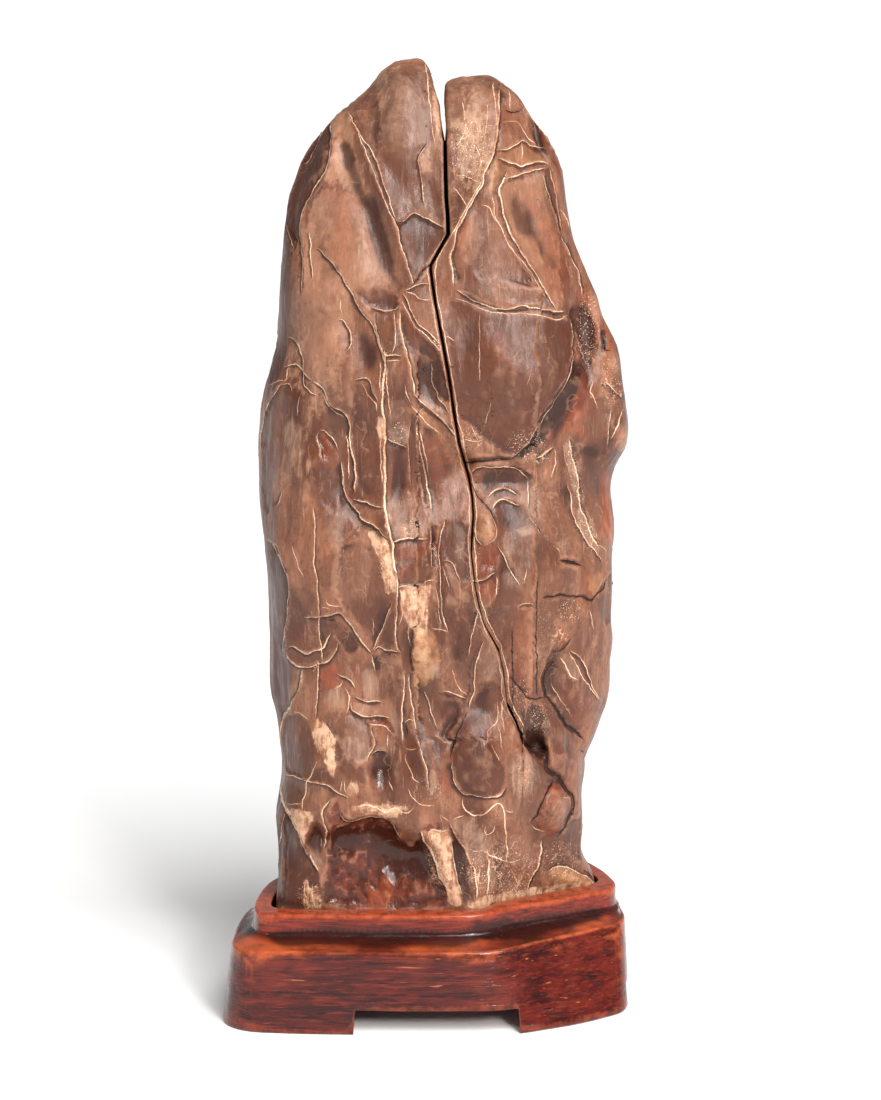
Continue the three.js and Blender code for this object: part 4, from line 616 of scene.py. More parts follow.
# %% Plates of the middle part
PLATES += as_lines(5, (
    # Painted shadow under the big panel's overhanging edge: a near-black band, and a dark red-brown maroon
    # falloff beside it.
    ("shade", 1.3, 1.0, None, 0, 573,360, 582,368, 579,388, 569,406, 558,420, 549,432, 538,447, 524,458,
     511,460, 526,446, 537,428, 546,414, 556,400, 567,382),
    ("maroon", 0.95, 4.0, None, 0, 572,362, 592,366, 592,392, 580,412, 566,424, 552,438, 540,450, 524,458,
     537,428, 556,400, 567,382),
    ("rust", 0.8, 3.0, None, 0, 566,412, 580,404, 588,428, 572,440, 560,428),
    ("plum", 0.35, 2.0, "right", 1.0, 590,400, 610,395, 608,440, 604,460, 574,456, 570,436, 586,430),
    ("deep", 0.8, 0.8, "in", 1.2, 612,425, 619,411, 623,420, 615,433, 609,447),
    ("tan", 0.8, 0.9, "out", 1.0, 617,434, 627,424, 628,440, 621,453, 614,449),
    ("tan", 0.5, 1.2, None, 0, 600,352, 616,350, 621,372, 614,384, 600,380),
    ("deep", 0.35, 2.0, "left", 1.0, 262,420, 270,400, 278,388, 289,386, 284,410, 278,440, 274,480, 268,520,
     260,500),
    ("deep", 0.6, 1.2, "in", 0.9, 294,384, 301,390, 301,420, 298,440, 293,425, 290,400),
    ("bloom", 0.55, 3.0, None, 0, 282,418, 300,424, 306,446, 304,470, 290,480, 276,500, 280,450),
    ("rust", 0.3, 1.2, None, 0, 319,432, 324,431, 331,436, 337,443, 339,455, 337,472, 327,468, 322,452,
     318,440),
    ("plum", 0.6, 2.6, None, 0, 322,362, 350,362, 352,380, 352,410, 349,417, 334,408, 326,396, 320,384),
    ("deep", 0.5, 1.6, "left", 1.0, 356,385, 368,386, 376,402, 377,430, 379,460, 380,495, 360,495, 356,470,
     352,440, 351,415),
    ("deep", 0.5, 3.0, None, 0, 308,462, 330,470, 342,486, 350,504, 338,512, 318,505, 306,490),
    ("bloom", 0.35, 2.0, None, 0, 388,395, 408,405, 409,446, 387,438),
    ("deep", 0.35, 0.8, "in", 0.8, 386,447, 408,450, 411,495, 386,497),
    ("bloom", 0.5, 1.6, None, 0, 386,498, 430,498, 431,520, 431,538, 392,541, 387,520),
    ("deep", 0.7, 0.5, "in", 1.0, 411,412, 417,416, 417,440, 421,460, 426,480, 428,510, 415,500, 411,470,
     410,440),
    ("rust", 0.5, 1.5, None, 0, 424,440, 442,436, 450,455, 450,485, 446,500, 436,505, 431,480),
    ("deep", 0.6, 1.5, "left", 1.0, 428,425, 441,434, 448,450, 448,480, 446,500, 436,508, 431,480, 424,450),
    ("deep", 0.4, 0.6, "in", 0.9, 472,470, 498,468, 517,470, 527,479, 527,490, 516,490, 503,487, 492,490,
     487,498, 478,485),
    ("plum", 1.0, 0.4, "in", 1.3, 492,512, 495,503, 503,499, 514,503, 521,504, 529,518, 530,530, 500,530,
     496,522),
    ("deep", 0.45, 0.4, None, 0, 492,512, 495,503, 503,499, 514,503, 521,504, 529,518, 530,530, 500,530,
     496,522),
    ("bloom", 0.6, 1.5, None, 0, 520,497, 527,482, 532,500, 540,500, 544,515, 535,520, 529,515),
    ("bloom", 0.7, 1.2, None, 0, 501,532, 512,530, 514,550, 521,572, 519,584, 510,568, 502,550),
    ("bloom", 0.7, 0.8, None, 0, 516,530, 530,522, 533,536, 520,536),
    ("deep", 0.5, 2.0, None, 0, 543,505, 556,478, 566,482, 570,505, 560,512, 548,530),
    ("plum", 0.6, 2.4, "left", 1.2, 572,448, 604,448, 605,500, 600,540, 590,520, 582,500, 576,475),
    ("rust", 0.9, 1.2, "out", 0.8, 603,468, 611,476, 611,505, 617,530, 613,543, 604,536, 601,505),
    ("deep", 0.25, 6.0, None, 0, 500,470, 556,476, 576,560, 570,620, 524,650, 500,560),
    ("bloom", 0.3, 3.0, None, 0, 562,436, 570,436, 576,465, 581,490, 580,504, 588,524, 598,546, 592,552,
     582,530, 572,500, 566,470),
    ("plum", 0.5, 2.0, None, 0, 550,512, 570,508, 576,530, 574,556, 560,556, 552,540),
    ("deep", 0.4, 0.6, "below", 1.0, 392,542, 430,540, 436,560, 436,580, 423,586, 397,588, 397,570, 394,558),
    ("rust", 0.55, 1.5, None, 0, 394,544, 430,541, 431,552, 414,556, 398,562),
    ("maroon", 0.9, 0.4, "in", 1.6, 431,524, 440,528, 440,545, 437,562, 432,560),
    ("plum", 0.9, 0.8, "right", 1.2, 447,522, 464,520, 469,540, 470,560, 472,580, 462,582, 458,572, 450,560,
     443,560, 441,545),
    ("deep", 0.5, 0.8, None, 0, 447,522, 464,520, 469,540, 470,560, 472,580, 462,582, 458,572, 450,560, 443,560,
     441,545),
    ("pale", 0.6, 0.8, None, 0, 443,563, 449,572, 454,590, 458,600, 470,604, 470,592, 460,590, 458,575,
     450,563),
    ("deep", 0.55, 1.6, "in", 1.0, 448,606, 474,607, 474,620, 470,640, 468,660, 455,665, 450,650, 448,630),
    ("deep", 0.7, 0.9, "in", 1.2, 478,546, 487,548, 496,543, 497,560, 494,572, 480,578, 476,560),
    ("rust", 0.8, 0.8, None, 0, 478,546, 487,548, 496,543, 497,560, 494,572, 480,578, 476,560),
    ("tan", 0.3, 3.0, "out", 0.8, 475,520, 479,513, 485,511, 491,514, 496,526, 496,540, 490,543, 484,547,
     479,541, 475,531),
    ("rust", 0.8, 0.6, None, 0, 481,583, 495,577, 496,600, 490,606, 484,600),
    ("deep", 0.5, 2.0, "left", 1.2, 498,550, 510,570, 518,588, 517,605, 512,640, 505,655, 495,640, 488,625,
     486,610, 495,600, 498,580),
    ("plum", 0.8, 1.6, None, 0, 500,584, 514,582, 516,606, 506,622, 498,610),
    ("rust", 0.45, 0.8, "out", 1.2, 518,610, 534,610, 535,698, 526,697, 514,680, 512,660, 513,630),
    ("plum", 0.8, 1.2, "in", 0.9, 539,600, 562,600, 556,630, 550,650, 540,662, 538,630),
    ("plum", 0.9, 1.0, "in", 0.8, 560,569, 576,568, 577,586, 566,594, 560,586),
    ("deep", 0.6, 1.0, "right", 1.2, 600,592, 608,572, 614,575, 614,622, 604,626, 596,604),
    ("deep", 0.9, 0.6, "left", 2.2, 262,540, 272,543, 280,560, 286,574, 288,590, 288,603, 286,625, 283,652,
     286,662, 292,672, 288,700, 284,712, 278,722, 266,700, 265,650, 264,600),
    ("pale", 0.35, 3.0, None, 0, 276,540, 292,544, 304,580, 310,600, 292,600, 288,580),
    ("deep", 0.45, 2.0, None, 0, 318,560, 340,548, 338,575, 328,590, 318,588),
    ("bloom", 0.35, 3.0, None, 0, 322,515, 344,512, 346,530, 334,545, 324,538),
    ("plum", 0.55, 3.0, "left", 1.2, 344,545, 366,540, 376,560, 384,590, 392,600, 382,625, 374,645, 362,630,
     348,612, 340,600, 335,570),
    ("deep", 0.65, 3.0, None, 0, 350,598, 392,596, 386,612, 376,634, 362,628, 350,612),
    ("deep", 0.5, 1.2, "below", 1.2, 318,621, 340,619, 350,632, 360,648, 350,655, 338,640, 333,634, 325,646,
     320,640),
    ("deep", 0.4, 1.6, None, 0, 290,586, 314,590, 314,612, 300,640, 286,640),
    ("deep", 0.45, 0.8, "in", 0.8, 377,648, 386,652, 396,640, 396,605, 386,622),
    ("plum", 0.55, 0.8, "in", 0.9, 290,650, 300,653, 311,655, 321,651, 320,662, 305,667, 293,660),
    ("cream", 1.0, 0.7, "out", 0.5, 368,532, 378,529, 388,540, 391,558, 394,572, 392,583, 389,596, 386,590,
     383,575, 379,560, 373,545),
    ("cream", 1.05, 0.7, "out", 0.6, 400,591, 417,591, 424,586, 431,584, 431,592, 428,609, 427,626, 423,633,
     414,634, 409,624, 402,610),
    ("tan", 1.1, 1.0, "out", 1.2, 414,634, 424,632, 434,636, 440,650, 438,664, 428,678, 424,692, 418,680,
     413,660, 410,645),
    ("cream", 0.45, 1.6, None, 0, 420,638, 432,640, 434,656, 424,668, 416,655),
    ("bloom", 0.8, 1.2, None, 0, 426,664, 438,660, 441,674, 430,680, 424,676),
    ("cream", 0.9, 0.7, None, 0, 376,420, 380,415, 384,425, 385,438, 382,448, 379,436),
    ("cream", 0.8, 1.0, None, 0, 384,508, 389,512, 391,530, 389,538, 385,520),
    ("tan", 0.6, 0.9, None, 0, 403,408, 425,410, 438,428, 446,442, 440,440, 424,424, 412,414),
))

# %% Plates of the lower part
PLATES += as_lines(5, (
    ("rust", 0.75, 1.4, None, 0, 318,668, 330,664, 340,670, 338,680, 332,688, 322,692, 318,690),
    ("bloom", 0.8, 1.0, None, 0, 330,690, 343,685, 346,700, 344,712, 334,705, 324,700),
    ("bloom", 0.7, 1.0, None, 0, 362,673, 370,668, 376,676, 381,698, 372,700, 362,700),
    ("bloom", 0.8, 1.2, None, 0, 296,670, 305,668, 302,684, 296,698, 290,706, 292,688),
    ("pale", 0.4, 0.8, None, 0, 352,702, 390,700, 398,690, 398,740, 390,730, 390,717, 368,717, 352,711),
    ("maroon", 0.7, 0.5, "in", 1.0, 370,719, 390,719, 396,736, 389,731, 382,726, 370,724),
    ("plum", 0.8, 1.5, "right", 1.2, 320,712, 350,713, 368,720, 374,742, 368,760, 356,762, 340,745, 330,728),
    ("bloom", 0.7, 2.0, None, 0, 338,738, 356,738, 370,748, 366,764, 354,762, 342,750),
    ("cream", 1.15, 0.5, "out", 0.9, 314,716, 318,720, 324,723, 329,730, 332,737, 336,738, 335,745, 335,758,
     334,768, 338,779, 332,776, 328,770, 323,765, 322,755, 319,748, 316,752, 314,742, 311,730, 311,722),
    ("deep", 0.6, 0.9, "left", 1.2, 284,720, 292,712, 306,718, 311,728, 315,752, 312,770, 306,780, 283,772,
     281,745),
    ("deep", 0.65, 1.5, "in", 1.2, 337,742, 352,752, 356,765, 364,765, 368,785, 355,782, 343,778, 338,765),
    ("deep", 0.5, 3.5, None, 0, 369,768, 374,757, 381,753, 388,754, 393,765, 396,785, 390,795, 378,796,
     370,788),
    ("bloom", 0.4, 1.2, None, 0, 366,760, 372,748, 386,732, 396,742, 394,760, 387,750, 376,752),
    ("deep", 0.65, 1.2, "in", 0.8, 313,770, 322,767, 330,773, 336,780, 333,787, 321,784, 308,781),
    ("plum", 1.0, 0.6, "in", 0.8, 283,775, 306,781, 305,792, 303,804, 285,803, 281,790),
    ("plum", 0.45, 0.6, "right", 1.0, 307,783, 330,787, 336,795, 330,800, 322,808, 315,812, 304,812, 305,798),
    ("cream", 0.7, 0.6, None, 0, 287,808, 300,811, 316,812, 310,826, 306,842, 303,849, 297,836, 291,822),
    ("bloom", 1.1, 0.8, None, 0, 289,811, 296,815, 300,822, 304,828, 306,822, 309,816, 315,813, 308,828,
     306,840, 304,847, 298,835),
    ("deep", 1.2, 0.4, "left", 3.6, 284,808, 290,818, 296,828, 302,842, 310,858, 318,872, 322,884, 322,910,
     270,910, 274,870, 276,835, 281,815),
    ("deep", 0.7, 1.0, None, 0, 270,740, 279,740, 281,775, 281,800, 284,812, 280,835, 270,835),
    ("plum", 0.7, 0.7, "in", 0.8, 307,842, 309,826, 316,813, 321,812, 324,825, 326,840, 324,852, 327,866,
     320,870, 312,857),
    ("maroon", 1.15, 0.9, "in", 3.0, 327,852, 328,832, 326,818, 332,806, 338,800, 341,812, 346,822, 356,821,
     366,818, 382,818, 392,824, 400,838, 410,846, 419,838, 425,852, 431,868, 438,882, 447,892, 449,910, 322,910,
     322,880, 327,866),
    ("rust", 1.5, 1.2, None, 0, 368,864, 378,858, 392,862, 394,885, 390,910, 368,910, 367,890, 370,876),
    ("rust", 0.6, 2.4, None, 0, 350,848, 362,850, 366,865, 356,874, 348,860),
    ("plum", 0.5, 2.0, None, 0, 400,808, 420,812, 430,824, 418,832, 412,846, 402,838, 396,822),
    ("cream", 0.85, 0.8, "out", 0.8, 352,806, 360,804, 368,802, 380,807, 388,810, 394,805, 404,811, 400,817,
     388,817, 376,815, 364,815, 354,812),
    ("cream", 0.95, 0.9, "out", 1.8, 428,832, 436,829, 449,830, 452,842, 454,860, 460,884, 463,906, 450,906,
     444,886, 438,873, 436,860, 434,848, 430,840),
    ("rust", 0.6, 1.2, None, 0, 421,834, 430,838, 436,856, 448,866, 456,884, 460,906, 450,906, 442,886, 434,866,
     426,850),
    ("maroon", 1.0, 0.6, "in", 1.5, 419,829, 424,824, 431,824, 437,829, 428,832, 421,833),
    ("deep", 0.95, 0.7, "in", 2.6, 451,828, 458,842, 466,853, 470,864, 474,880, 474,906, 463,906, 458,880,
     454,860, 452,842),
    ("bloom", 0.9, 1.6, None, 0, 452,822, 466,815, 476,820, 484,830, 490,848, 484,854, 470,852, 462,842),
    ("plum", 0.5, 2.0, None, 0, 541,838, 560,838, 572,848, 578,862, 566,866, 552,868, 540,872, 536,880,
     540,860),
    ("deep", 0.6, 1.2, "right", 1.2, 564,828, 571,822, 583,815, 584,858, 577,862, 570,850, 562,838),
    ("tan", 0.5, 0.9, "out", 1.6, 540,880, 548,871, 560,867, 572,870, 588,879, 598,885, 570,889, 545,891),
    ("rust", 0.6, 0.7, "out", 1.8, 554,780, 562,786, 572,798, 568,812, 562,828, 554,836, 544,832, 532,826,
     537,813, 543,799, 550,788),
    ("rust", 0.4, 0.8, "out", 1.4, 549,750, 566,750, 580,758, 582,770, 576,786, 572,795, 560,780, 552,772,
     548,768),
    ("bloom", 0.5, 2.0, None, 0, 512,758, 525,752, 535,758, 537,780, 528,796, 514,795, 508,775),
    ("plum", 0.7, 1.6, None, 0, 508,752, 525,750, 545,762, 546,785, 534,815, 524,830, 510,800, 506,770),
    ("deep", 0.9, 1.0, "out", 1.0, 470,715, 484,712, 487,740, 498,758, 505,770, 503,788, 496,796, 480,797,
     466,793, 457,780, 453,765, 453,748, 458,735, 464,722),
    ("deep", 0.9, 4.0, None, 0, 462,740, 485,735, 500,762, 503,788, 490,796, 470,794, 458,778),
    ("deep", 0.6, 1.4, "right", 1.4, 442,700, 466,701, 466,713, 458,728, 450,745, 446,740, 440,720),
    ("plum", 0.6, 2.0, None, 0, 416,700, 440,700, 442,725, 446,750, 436,775, 424,750, 418,725),
    ("deep", 0.5, 1.6, "in", 1.0, 478,682, 500,682, 502,700, 497,735, 488,725, 474,712),
    ("bloom", 0.4, 1.4, None, 0, 480,650, 486,640, 498,655, 501,668, 488,682, 478,676),
    ("plum", 0.6, 1.0, "in", 0.8, 452,650, 470,650, 474,668, 473,690, 464,690, 456,672),
    ("shade", 0.75, 1.6, "in", 2.4, 521,712, 530,703, 545,706, 549,730, 547,751, 528,751, 520,735),
    ("deep", 0.45, 2.4, None, 0, 505,684, 516,690, 526,700, 524,724, 512,712),
    ("plum", 0.6, 1.6, "left", 1.2, 547,672, 558,662, 566,675, 566,690, 556,700, 547,695, 544,682),
    ("rust", 0.45, 3.0, None, 0, 566,690, 590,690, 598,705, 590,734, 570,722, 562,705),
    ("bloom", 0.8, 0.7, None, 0, 560,658, 568,651, 578,668, 580,680, 571,680, 566,670),
    ("cream", 0.9, 0.8, None, 0, 303,880, 309,878, 311,890, 319,884, 321,907, 302,908),
    ("cream", 0.8, 1.0, None, 0, 466,902, 488,896, 520,890, 556,886, 600,880, 602,888, 556,894, 492,904,
     468,909),
    ("pale", 0.4, 2.0, None, 0, 404,672, 412,690, 414,712, 404,722, 402,700),
    ("deep", 0.5, 0.8, "in", 0.9, 405,752, 418,751, 426,775, 428,790, 416,782, 410,770),
))
print(len(PLATES), "plates")

# %% [markdown]
# ## Edges of the back
# The picture doesn't show the back, so its plates follow the CAD solid's own ridges there and go on in the same
# style. The lines are given where they lie behind the picture.

# %% Plate edges of the back
BACK_EDGES = as_lines(4, (
    ("left", 1.6, 0.8, MAIN, 330,140, 322,210, 336,290, 318,360, 324,420),
    ("right", 1.4, 0.8, THIN, 392,96, 404,180, 392,262, 402,330),
    ("right", 1.6, 0.8, MAIN, 512,120, 522,205, 506,280, 516,352),
    ("left", 1.5, 0.8, MAIN, 372,470, 360,560, 378,650, 366,720),
    ("right", 1.6, 0.8, THIN, 540,470, 528,560, 544,640, 532,700),
    ("left", 1.5, 0.8, MAIN, 300,640, 312,720, 302,800),
    ("right", 1.5, 0.8, THIN, 520,700, 508,770, 522,850),
    ("right", 1.8, 0.8, MAIN, 352,130, 366,220, 350,310, 368,400, 356,452),
    ("left", 1.8, 0.8, MAIN, 470,120, 458,220, 476,330, 464,420),
    ("right", 1.6, 0.8, THIN, 566,240, 552,330, 570,420, 556,500),
    ("left", 1.6, 0.8, THIN, 330,520, 318,600, 334,690),
    ("right", 1.8, 0.8, MAIN, 484,500, 470,590, 490,680, 476,760),
    ("below", 1.6, 0.8, MAIN, 296,372, 340,380, 388,368, 430,378),
    ("below", 1.6, 0.8, THIN, 440,474, 490,486, 548,474),
    ("below", 1.6, 0.8, MAIN, 290,590, 340,600, 400,588),
    ("below", 1.6, 0.8, THIN, 400,735, 455,748, 512,736),
    ("below", 2.2, 0.8, MAIN, 296,812, 352,824, 420,812, 490,826, 556,812),
    (None, 0, 0.6, THIN, 412,200, 430,236, 424,280, 446,330, 440,372),
    (None, 0, 0.6, THIN, 300,236, 340,262, 356,300),
    (None, 0, 0.6, THIN, 500,356, 530,392, 566,402, 600,432),
    (None, 0, 0.6, THIN, 400,404, 416,452, 404,520, 420,570),
    (None, 0, 0.6, THIN, 560,560, 584,600, 578,652, 600,690),
    (None, 0, 0.6, THIN, 392,622, 424,660, 420,712, 444,760),
    (None, 0, 0.6, THIN, 330,716, 352,760, 346,806),
    (None, 0, 0.6, THIN, 560,740, 540,790, 552,840),
))
BACK_CRACKS = as_lines(2, (
    (2.6, 0.9, 430,300, 442,380, 428,450, 436,500),
    (2.6, 0.9, 424,560, 440,640, 426,720, 436,790),
    (1.8, 0.7, 436,500, 470,516, 500,560, 520,570),
    (1.8, 0.7, 300,470, 334,500, 346,560),
    (1.8, 0.7, 556,300, 540,330, 546,372, 520,402),
))
print(len(BACK_EDGES), "edges and", len(BACK_CRACKS), "cracks on the back")

# %% [markdown]
# ## How far a point lies from a drawn line
# Every mark needs the same measure: for each point near a line, its distance, the side on which it lies and how
# far along the line it is. NumPy does it for all points at once, after a quick box test. A pixel of the picture
# is 0.51 mm wide at the stone.

# %% Distance to a line
PIXEL = 0.51


def near_line(places, line, reach):
    """Index, distance, side and run in millimetres, of the places within reach of a line of columns and rows."""
    line = np.array(line, float)
    edge = reach / PIXEL
    inside = ((places > line.min(0) - edge) & (places < line.max(0) + edge)).all(1)
    index = np.nonzero(inside)[0]
    start, step = line[:-1], np.diff(line, axis=0)
    lengths = np.hypot(*step.T)
    to = places[index][:, None] - start
    share = np.clip((to * step).sum(2) / lengths**2, 0, 1)
    off = to - share[..., None] * step
    away = np.hypot(off[..., 0], off[..., 1])
    best = away.argmin(1)
    row = np.arange(len(index))
    chosen, point = step[best], to[row, best]
    side = np.sign(chosen[:, 0] * point[:, 1] - chosen[:, 1] * point[:, 0])
    run = (np.concatenate([[0], np.cumsum(lengths)])[best] + share[row, best] * lengths[best]) * PIXEL
    return index, away[row, best] * PIXEL, np.where(side == 0, 1, side), run, lengths.sum() * PIXEL


def smoothstep(low, high, value):
    t = np.clip((value - low) / (high - low), 0, 1)
    return t * t * (3 - 2 * t)


def low_side(line, side):
    """Which sign of near_line's side is the low one: lines are drawn either way round."""
    (x0, y0), (x1, y1) = line[0], line[-1]
    if side in ("left", "right"):
        sign = 1 if y1 > y0 else -1
        return sign if side == "left" else -sign
    sign = 1 if x1 > x0 else -1
    return sign if side == "below" else -sign


def rounded(line):
    """The line with its corners cut once, so that it bends instead of turning sharply."""
    line = np.array(line, float)
    cut = np.stack([0.75 * line[:-1] + 0.25 * line[1:], 0.25 * line[:-1] + 0.75 * line[1:]], 1).reshape(-1, 2)
    return np.concatenate([line[:1], cut[1:-1], line[-1:]])


TAPER = 5


def taper(run, whole):
    """1 along a line, falling to 0 at both of its ends."""
    return smoothstep(0, min(TAPER, whole / 3), np.minimum(run, whole - run))


def within(places, outline):
    """Whether places lie inside an outline: a ray to the right crosses its sides an odd number of times."""
    odd = np.zeros(len(places), bool)
    for (x0, y0), (x1, y1) in zip(outline, np.roll(outline, -1, 0)):
        spans = (y0 > places[:, 1]) != (y1 > places[:, 1])
        cross = x0 + (places[:, 1] - y0) / ((y1 - y0) or 1) * (x1 - x0)
        odd ^= spans & (places[:, 0] < cross)
    return odd


def depth_inside(places, outline, reach):
    """Index of the places inside or within reach of an outline, and their depth in it in millimetres."""
    outline = rounded(np.array(outline + outline[:1], float))
    edge = reach / PIXEL
    close = ((places > outline.min(0) - edge) & (places < outline.max(0) + edge)).all(1)
    index = np.nonzero(close)[0]
    spots = places[index]
    away = near_line(spots, outline, 1e4)[1]
    return index, np.where(within(spots, outline[:-1]), away, -away)


# %% [markdown]
# ## A fine mesh for the stone
# The CAD stone has large facets. We copy it, merge its loose triangles, and split every edge that is too long
# for the detail it has to carry: under two millimetres beside a drawn line, and more on the quiet parts. A
# Subdivision Surface would split the quiet parts as finely as the rest. Between the rounds of splitting the
# points are smoothed, which turns the facets into soft waxy plates.

# %% Refine a mesh where it matters
FINE, COARSE, BACK_COARSE, FINE_BAND = 1.35, 2.3, 3.4, 1.8
TOO_LONG = 1.4
ALL_FRONT = [e[4] for e in EDGES] + [c[2] for c in CRACKS]
ALL_BACK = [e[4] for e in BACK_EDGES] + [c[2] for c in BACK_CRACKS]


def facing(normals, points):
    """How much a surface looks towards the camera: 1 straight at it, 0 edge on, below 0 away."""
    to_eye = EYE - points
    to_eye /= np.linalg.norm(to_eye, axis=1, keepdims=True)
    return (normals * to_eye).sum(1)


def split_long(bm, allowed, rounds):
    """Splits every edge that is longer than allowed(middles, normals) until none is left."""
    for _ in range(rounds):
        edges = list(bm.edges)
        ends = np.array([[tuple(v.co) for v in e.verts] for e in edges])
        normals = np.array([tuple(e.verts[0].normal + e.verts[1].normal) for e in edges])
        normals /= np.maximum(np.linalg.norm(normals, axis=1, keepdims=True), 1e-9)
        lengths = np.linalg.norm(ends[:, 0] - ends[:, 1], axis=1)
        limit = allowed(ends.mean(1), normals) * MM
        long = [e for e, bad in zip(edges, lengths > TOO_LONG * limit) if bad]
        if not long:
            break
        bmesh.ops.subdivide_edges(bm, edges=long, cuts=1)
        bmesh.ops.triangulate(bm, faces=[f for f in bm.faces if len(f.verts) > 3])
        bm.normal_update()


def stone_edge_length(middles, normals):
    """Wanted edge length in millimetres: short beside the lines of the side that a point lies on."""
    places = seen(middles)
    front = facing(normals, middles) > 0
    wanted = np.where(front, COARSE, BACK_COARSE)
    for lines, mask in ((ALL_FRONT, front), (ALL_BACK, ~front)):
        finest, coarsest = (FINE, COARSE) if lines is ALL_FRONT else (1.5 * FINE, BACK_COARSE)
        for line in lines:
            index, away, *_ = near_line(places, line, FINE_BAND + 4)
            index, away = index[mask[index]], away[mask[index]]
            length = finest + (coarsest - finest) * np.clip((away - FINE_BAND) / 4, 0, 1)
            wanted[index] = np.minimum(wanted[index], length)
    return wanted


def points_of(bm):
    return np.array([tuple(v.co) for v in bm.verts])


def normals_of(bm):
    return np.array([tuple(v.normal) for v in bm.verts])


def put_back(bm, places):
    """Moves the points of a mesh to new places."""
    for v, co in zip(bm.verts, places):
        v.co = co


def neighbour_mean(values, pairs, count):
    """Average of each point's neighbours."""
    total = np.zeros_like(values)
    for axis in range(values.shape[1]):
        total[:, axis] = np.bincount(pairs[:, 0], values[pairs[:, 1], axis], len(values))
        total[:, axis] += np.bincount(pairs[:, 1], values[pairs[:, 0], axis], len(values))
    return total / count[:, None]


def net_of(bm):
    """The points of a mesh, its edges as pairs of indices, and how many neighbours each point has."""
    bm.verts.index_update()
    here = points_of(bm)
    pairs = np.array([[e.verts[0].index, e.verts[1].index] for e in bm.edges])
    return here, pairs, np.bincount(pairs.ravel(), minlength=len(here)).astype(float)


def soften(bm, times, held):
    """Smooths all points but the held ones, each time in and out again, so that the stone doesn't shrink."""
    here, pairs, count = net_of(bm)
    free = (~held)[:, None]
    for _ in range(times):
        for share in (0.5, -0.52):
            here = here + free * share * (neighbour_mean(here, pairs, count) - here)
    put_back(bm, here)


# %% Copy and refine the stone
MAIN_CRACK = CRACKS[0][2]
FOOT_KEPT = 0.0512
MERGED = 1e-5


def held_points(bm, band):
    """The points of the cleft, which must keep its width, and of the flat foot."""
    here = net_of(bm)[0]
    held = here[:, 2] < FOOT_KEPT
    index, away, *_ = near_line(seen(here), MAIN_CRACK, band)
    held[index[away < band]] = True
    return held


stone_bm = bmesh.new()
stone_bm.from_mesh(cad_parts["stone"].data)
bmesh.ops.remove_doubles(stone_bm, verts=stone_bm.verts, dist=MERGED)
split_long(stone_bm, lambda middles, normals: np.full(len(middles), 4.0), 3)
soften(stone_bm, 6, held_points(stone_bm, 2.2))
split_long(stone_bm, stone_edge_length, 6)
soften(stone_bm, 4, held_points(stone_bm, 2.0))
stone_bm.normal_update()
print("stone mesh:", len(stone_bm.verts), "points,", len(stone_bm.faces), "faces")

# %% [markdown]
# ## Relief
# The relief of the front is the sum of all plate edges, cracks and soft forms. A displacement image could carry
# it too, but formulas on the points stay sharp and need no image. The drawn places are wobbled by a small noise
# first, because nothing on a stone is drawn with a ruler.

# %% Relief
REACH = 7.0
CREST, CREST_SHARE = 0.6, 0.55
STEP, DROP_SHARE = 0.5, 1.25
WOBBLE = 1.1


def noise_at(points, size, stretch=1.0, seed=0.0):
    """Smooth noise from about -1 to 1. Its features have a size in millimetres, and are longer up the stone."""
    scale = 1 / (size * MM)
    shift = Vector((seed, seed * 1.7, seed * 2.3))
    return np.array([
        noise.noise(Vector((x * scale, y * scale, z * scale / stretch)) + shift) for x, y, z in points
    ])


def wobbled(points, places):
    """The places moved by up to a pixel or two, in a pattern fixed to the stone."""
    moved = places.copy()
    for axis, seed in ((0, 3.0), (1, 8.0)):
        slow, quick = noise_at(points, 6, 1, seed), noise_at(points, 2.4, 1, seed + 20)
        moved[:, axis] += WOBBLE * (1.3 * slow + 0.7 * quick)
    return moved


def edge_relief(places, edges, cracks):
    """Height in millimetres of the plate edges and cracks at each place."""
    height = np.zeros(len(places))
    for side, drop, crest, _, line in edges:
        index, away, hand, run, whole = near_line(places, rounded(line), REACH)
        ends = taper(run, whole)
        rise = CREST_SHARE * crest * np.exp(-((away / CREST) ** 2))
        if side:
            low = hand == low_side(line, side)
            fall = np.clip(away / STEP, 0, 1) * np.clip(1 - away / REACH, 0, 1) ** 2
            rise = rise - np.where(low, DROP_SHARE * drop * fall, 0)
        height[index] += ends * rise
    for depth, half, line in cracks:
        index, away, _, run, whole = near_line(places, rounded(line), 3 * half + 1)
        lip = 0.25 * depth * np.exp(-(((away - 1.6 * half) / half) ** 2))
        height[index] -= 0.65 * taper(run, whole) * (depth * np.clip(1 - away / (1.25 * half), 0, 1) - 0.3 * lip)
    return height


def oval_share(places, middle, half, turn):
    """Distance from an oval's middle, 1 at its border."""
    angle = math.radians(turn)
    dx, dy = (places - middle).T
    across = dx * math.cos(angle) + dy * math.sin(angle)
    along = -dx * math.sin(angle) + dy * math.cos(angle)
    return np.hypot(across / half[0], along / half[1])


def swellings(places):
    height = np.zeros(len(places))
    for amount, column, row, half_across, half_up, turn in SWELLINGS:
        share = oval_share(places, (column, row), (half_across, half_up), turn)
        height += amount * (1 - smoothstep(0.1, 1.35, share))
    return height


def patch(places, name):
    """Strength of one kind of patch at each place, 0 to 1."""
    most = np.zeros(len(places))
    for column, row, half_across, half_up, strength, turn in PATCHES[name]:
        share = oval_share(places, (column, row), (half_across, half_up), turn)
        most = np.maximum(most, strength * (1 - smoothstep(0.55, 1.35, share)))
    return most


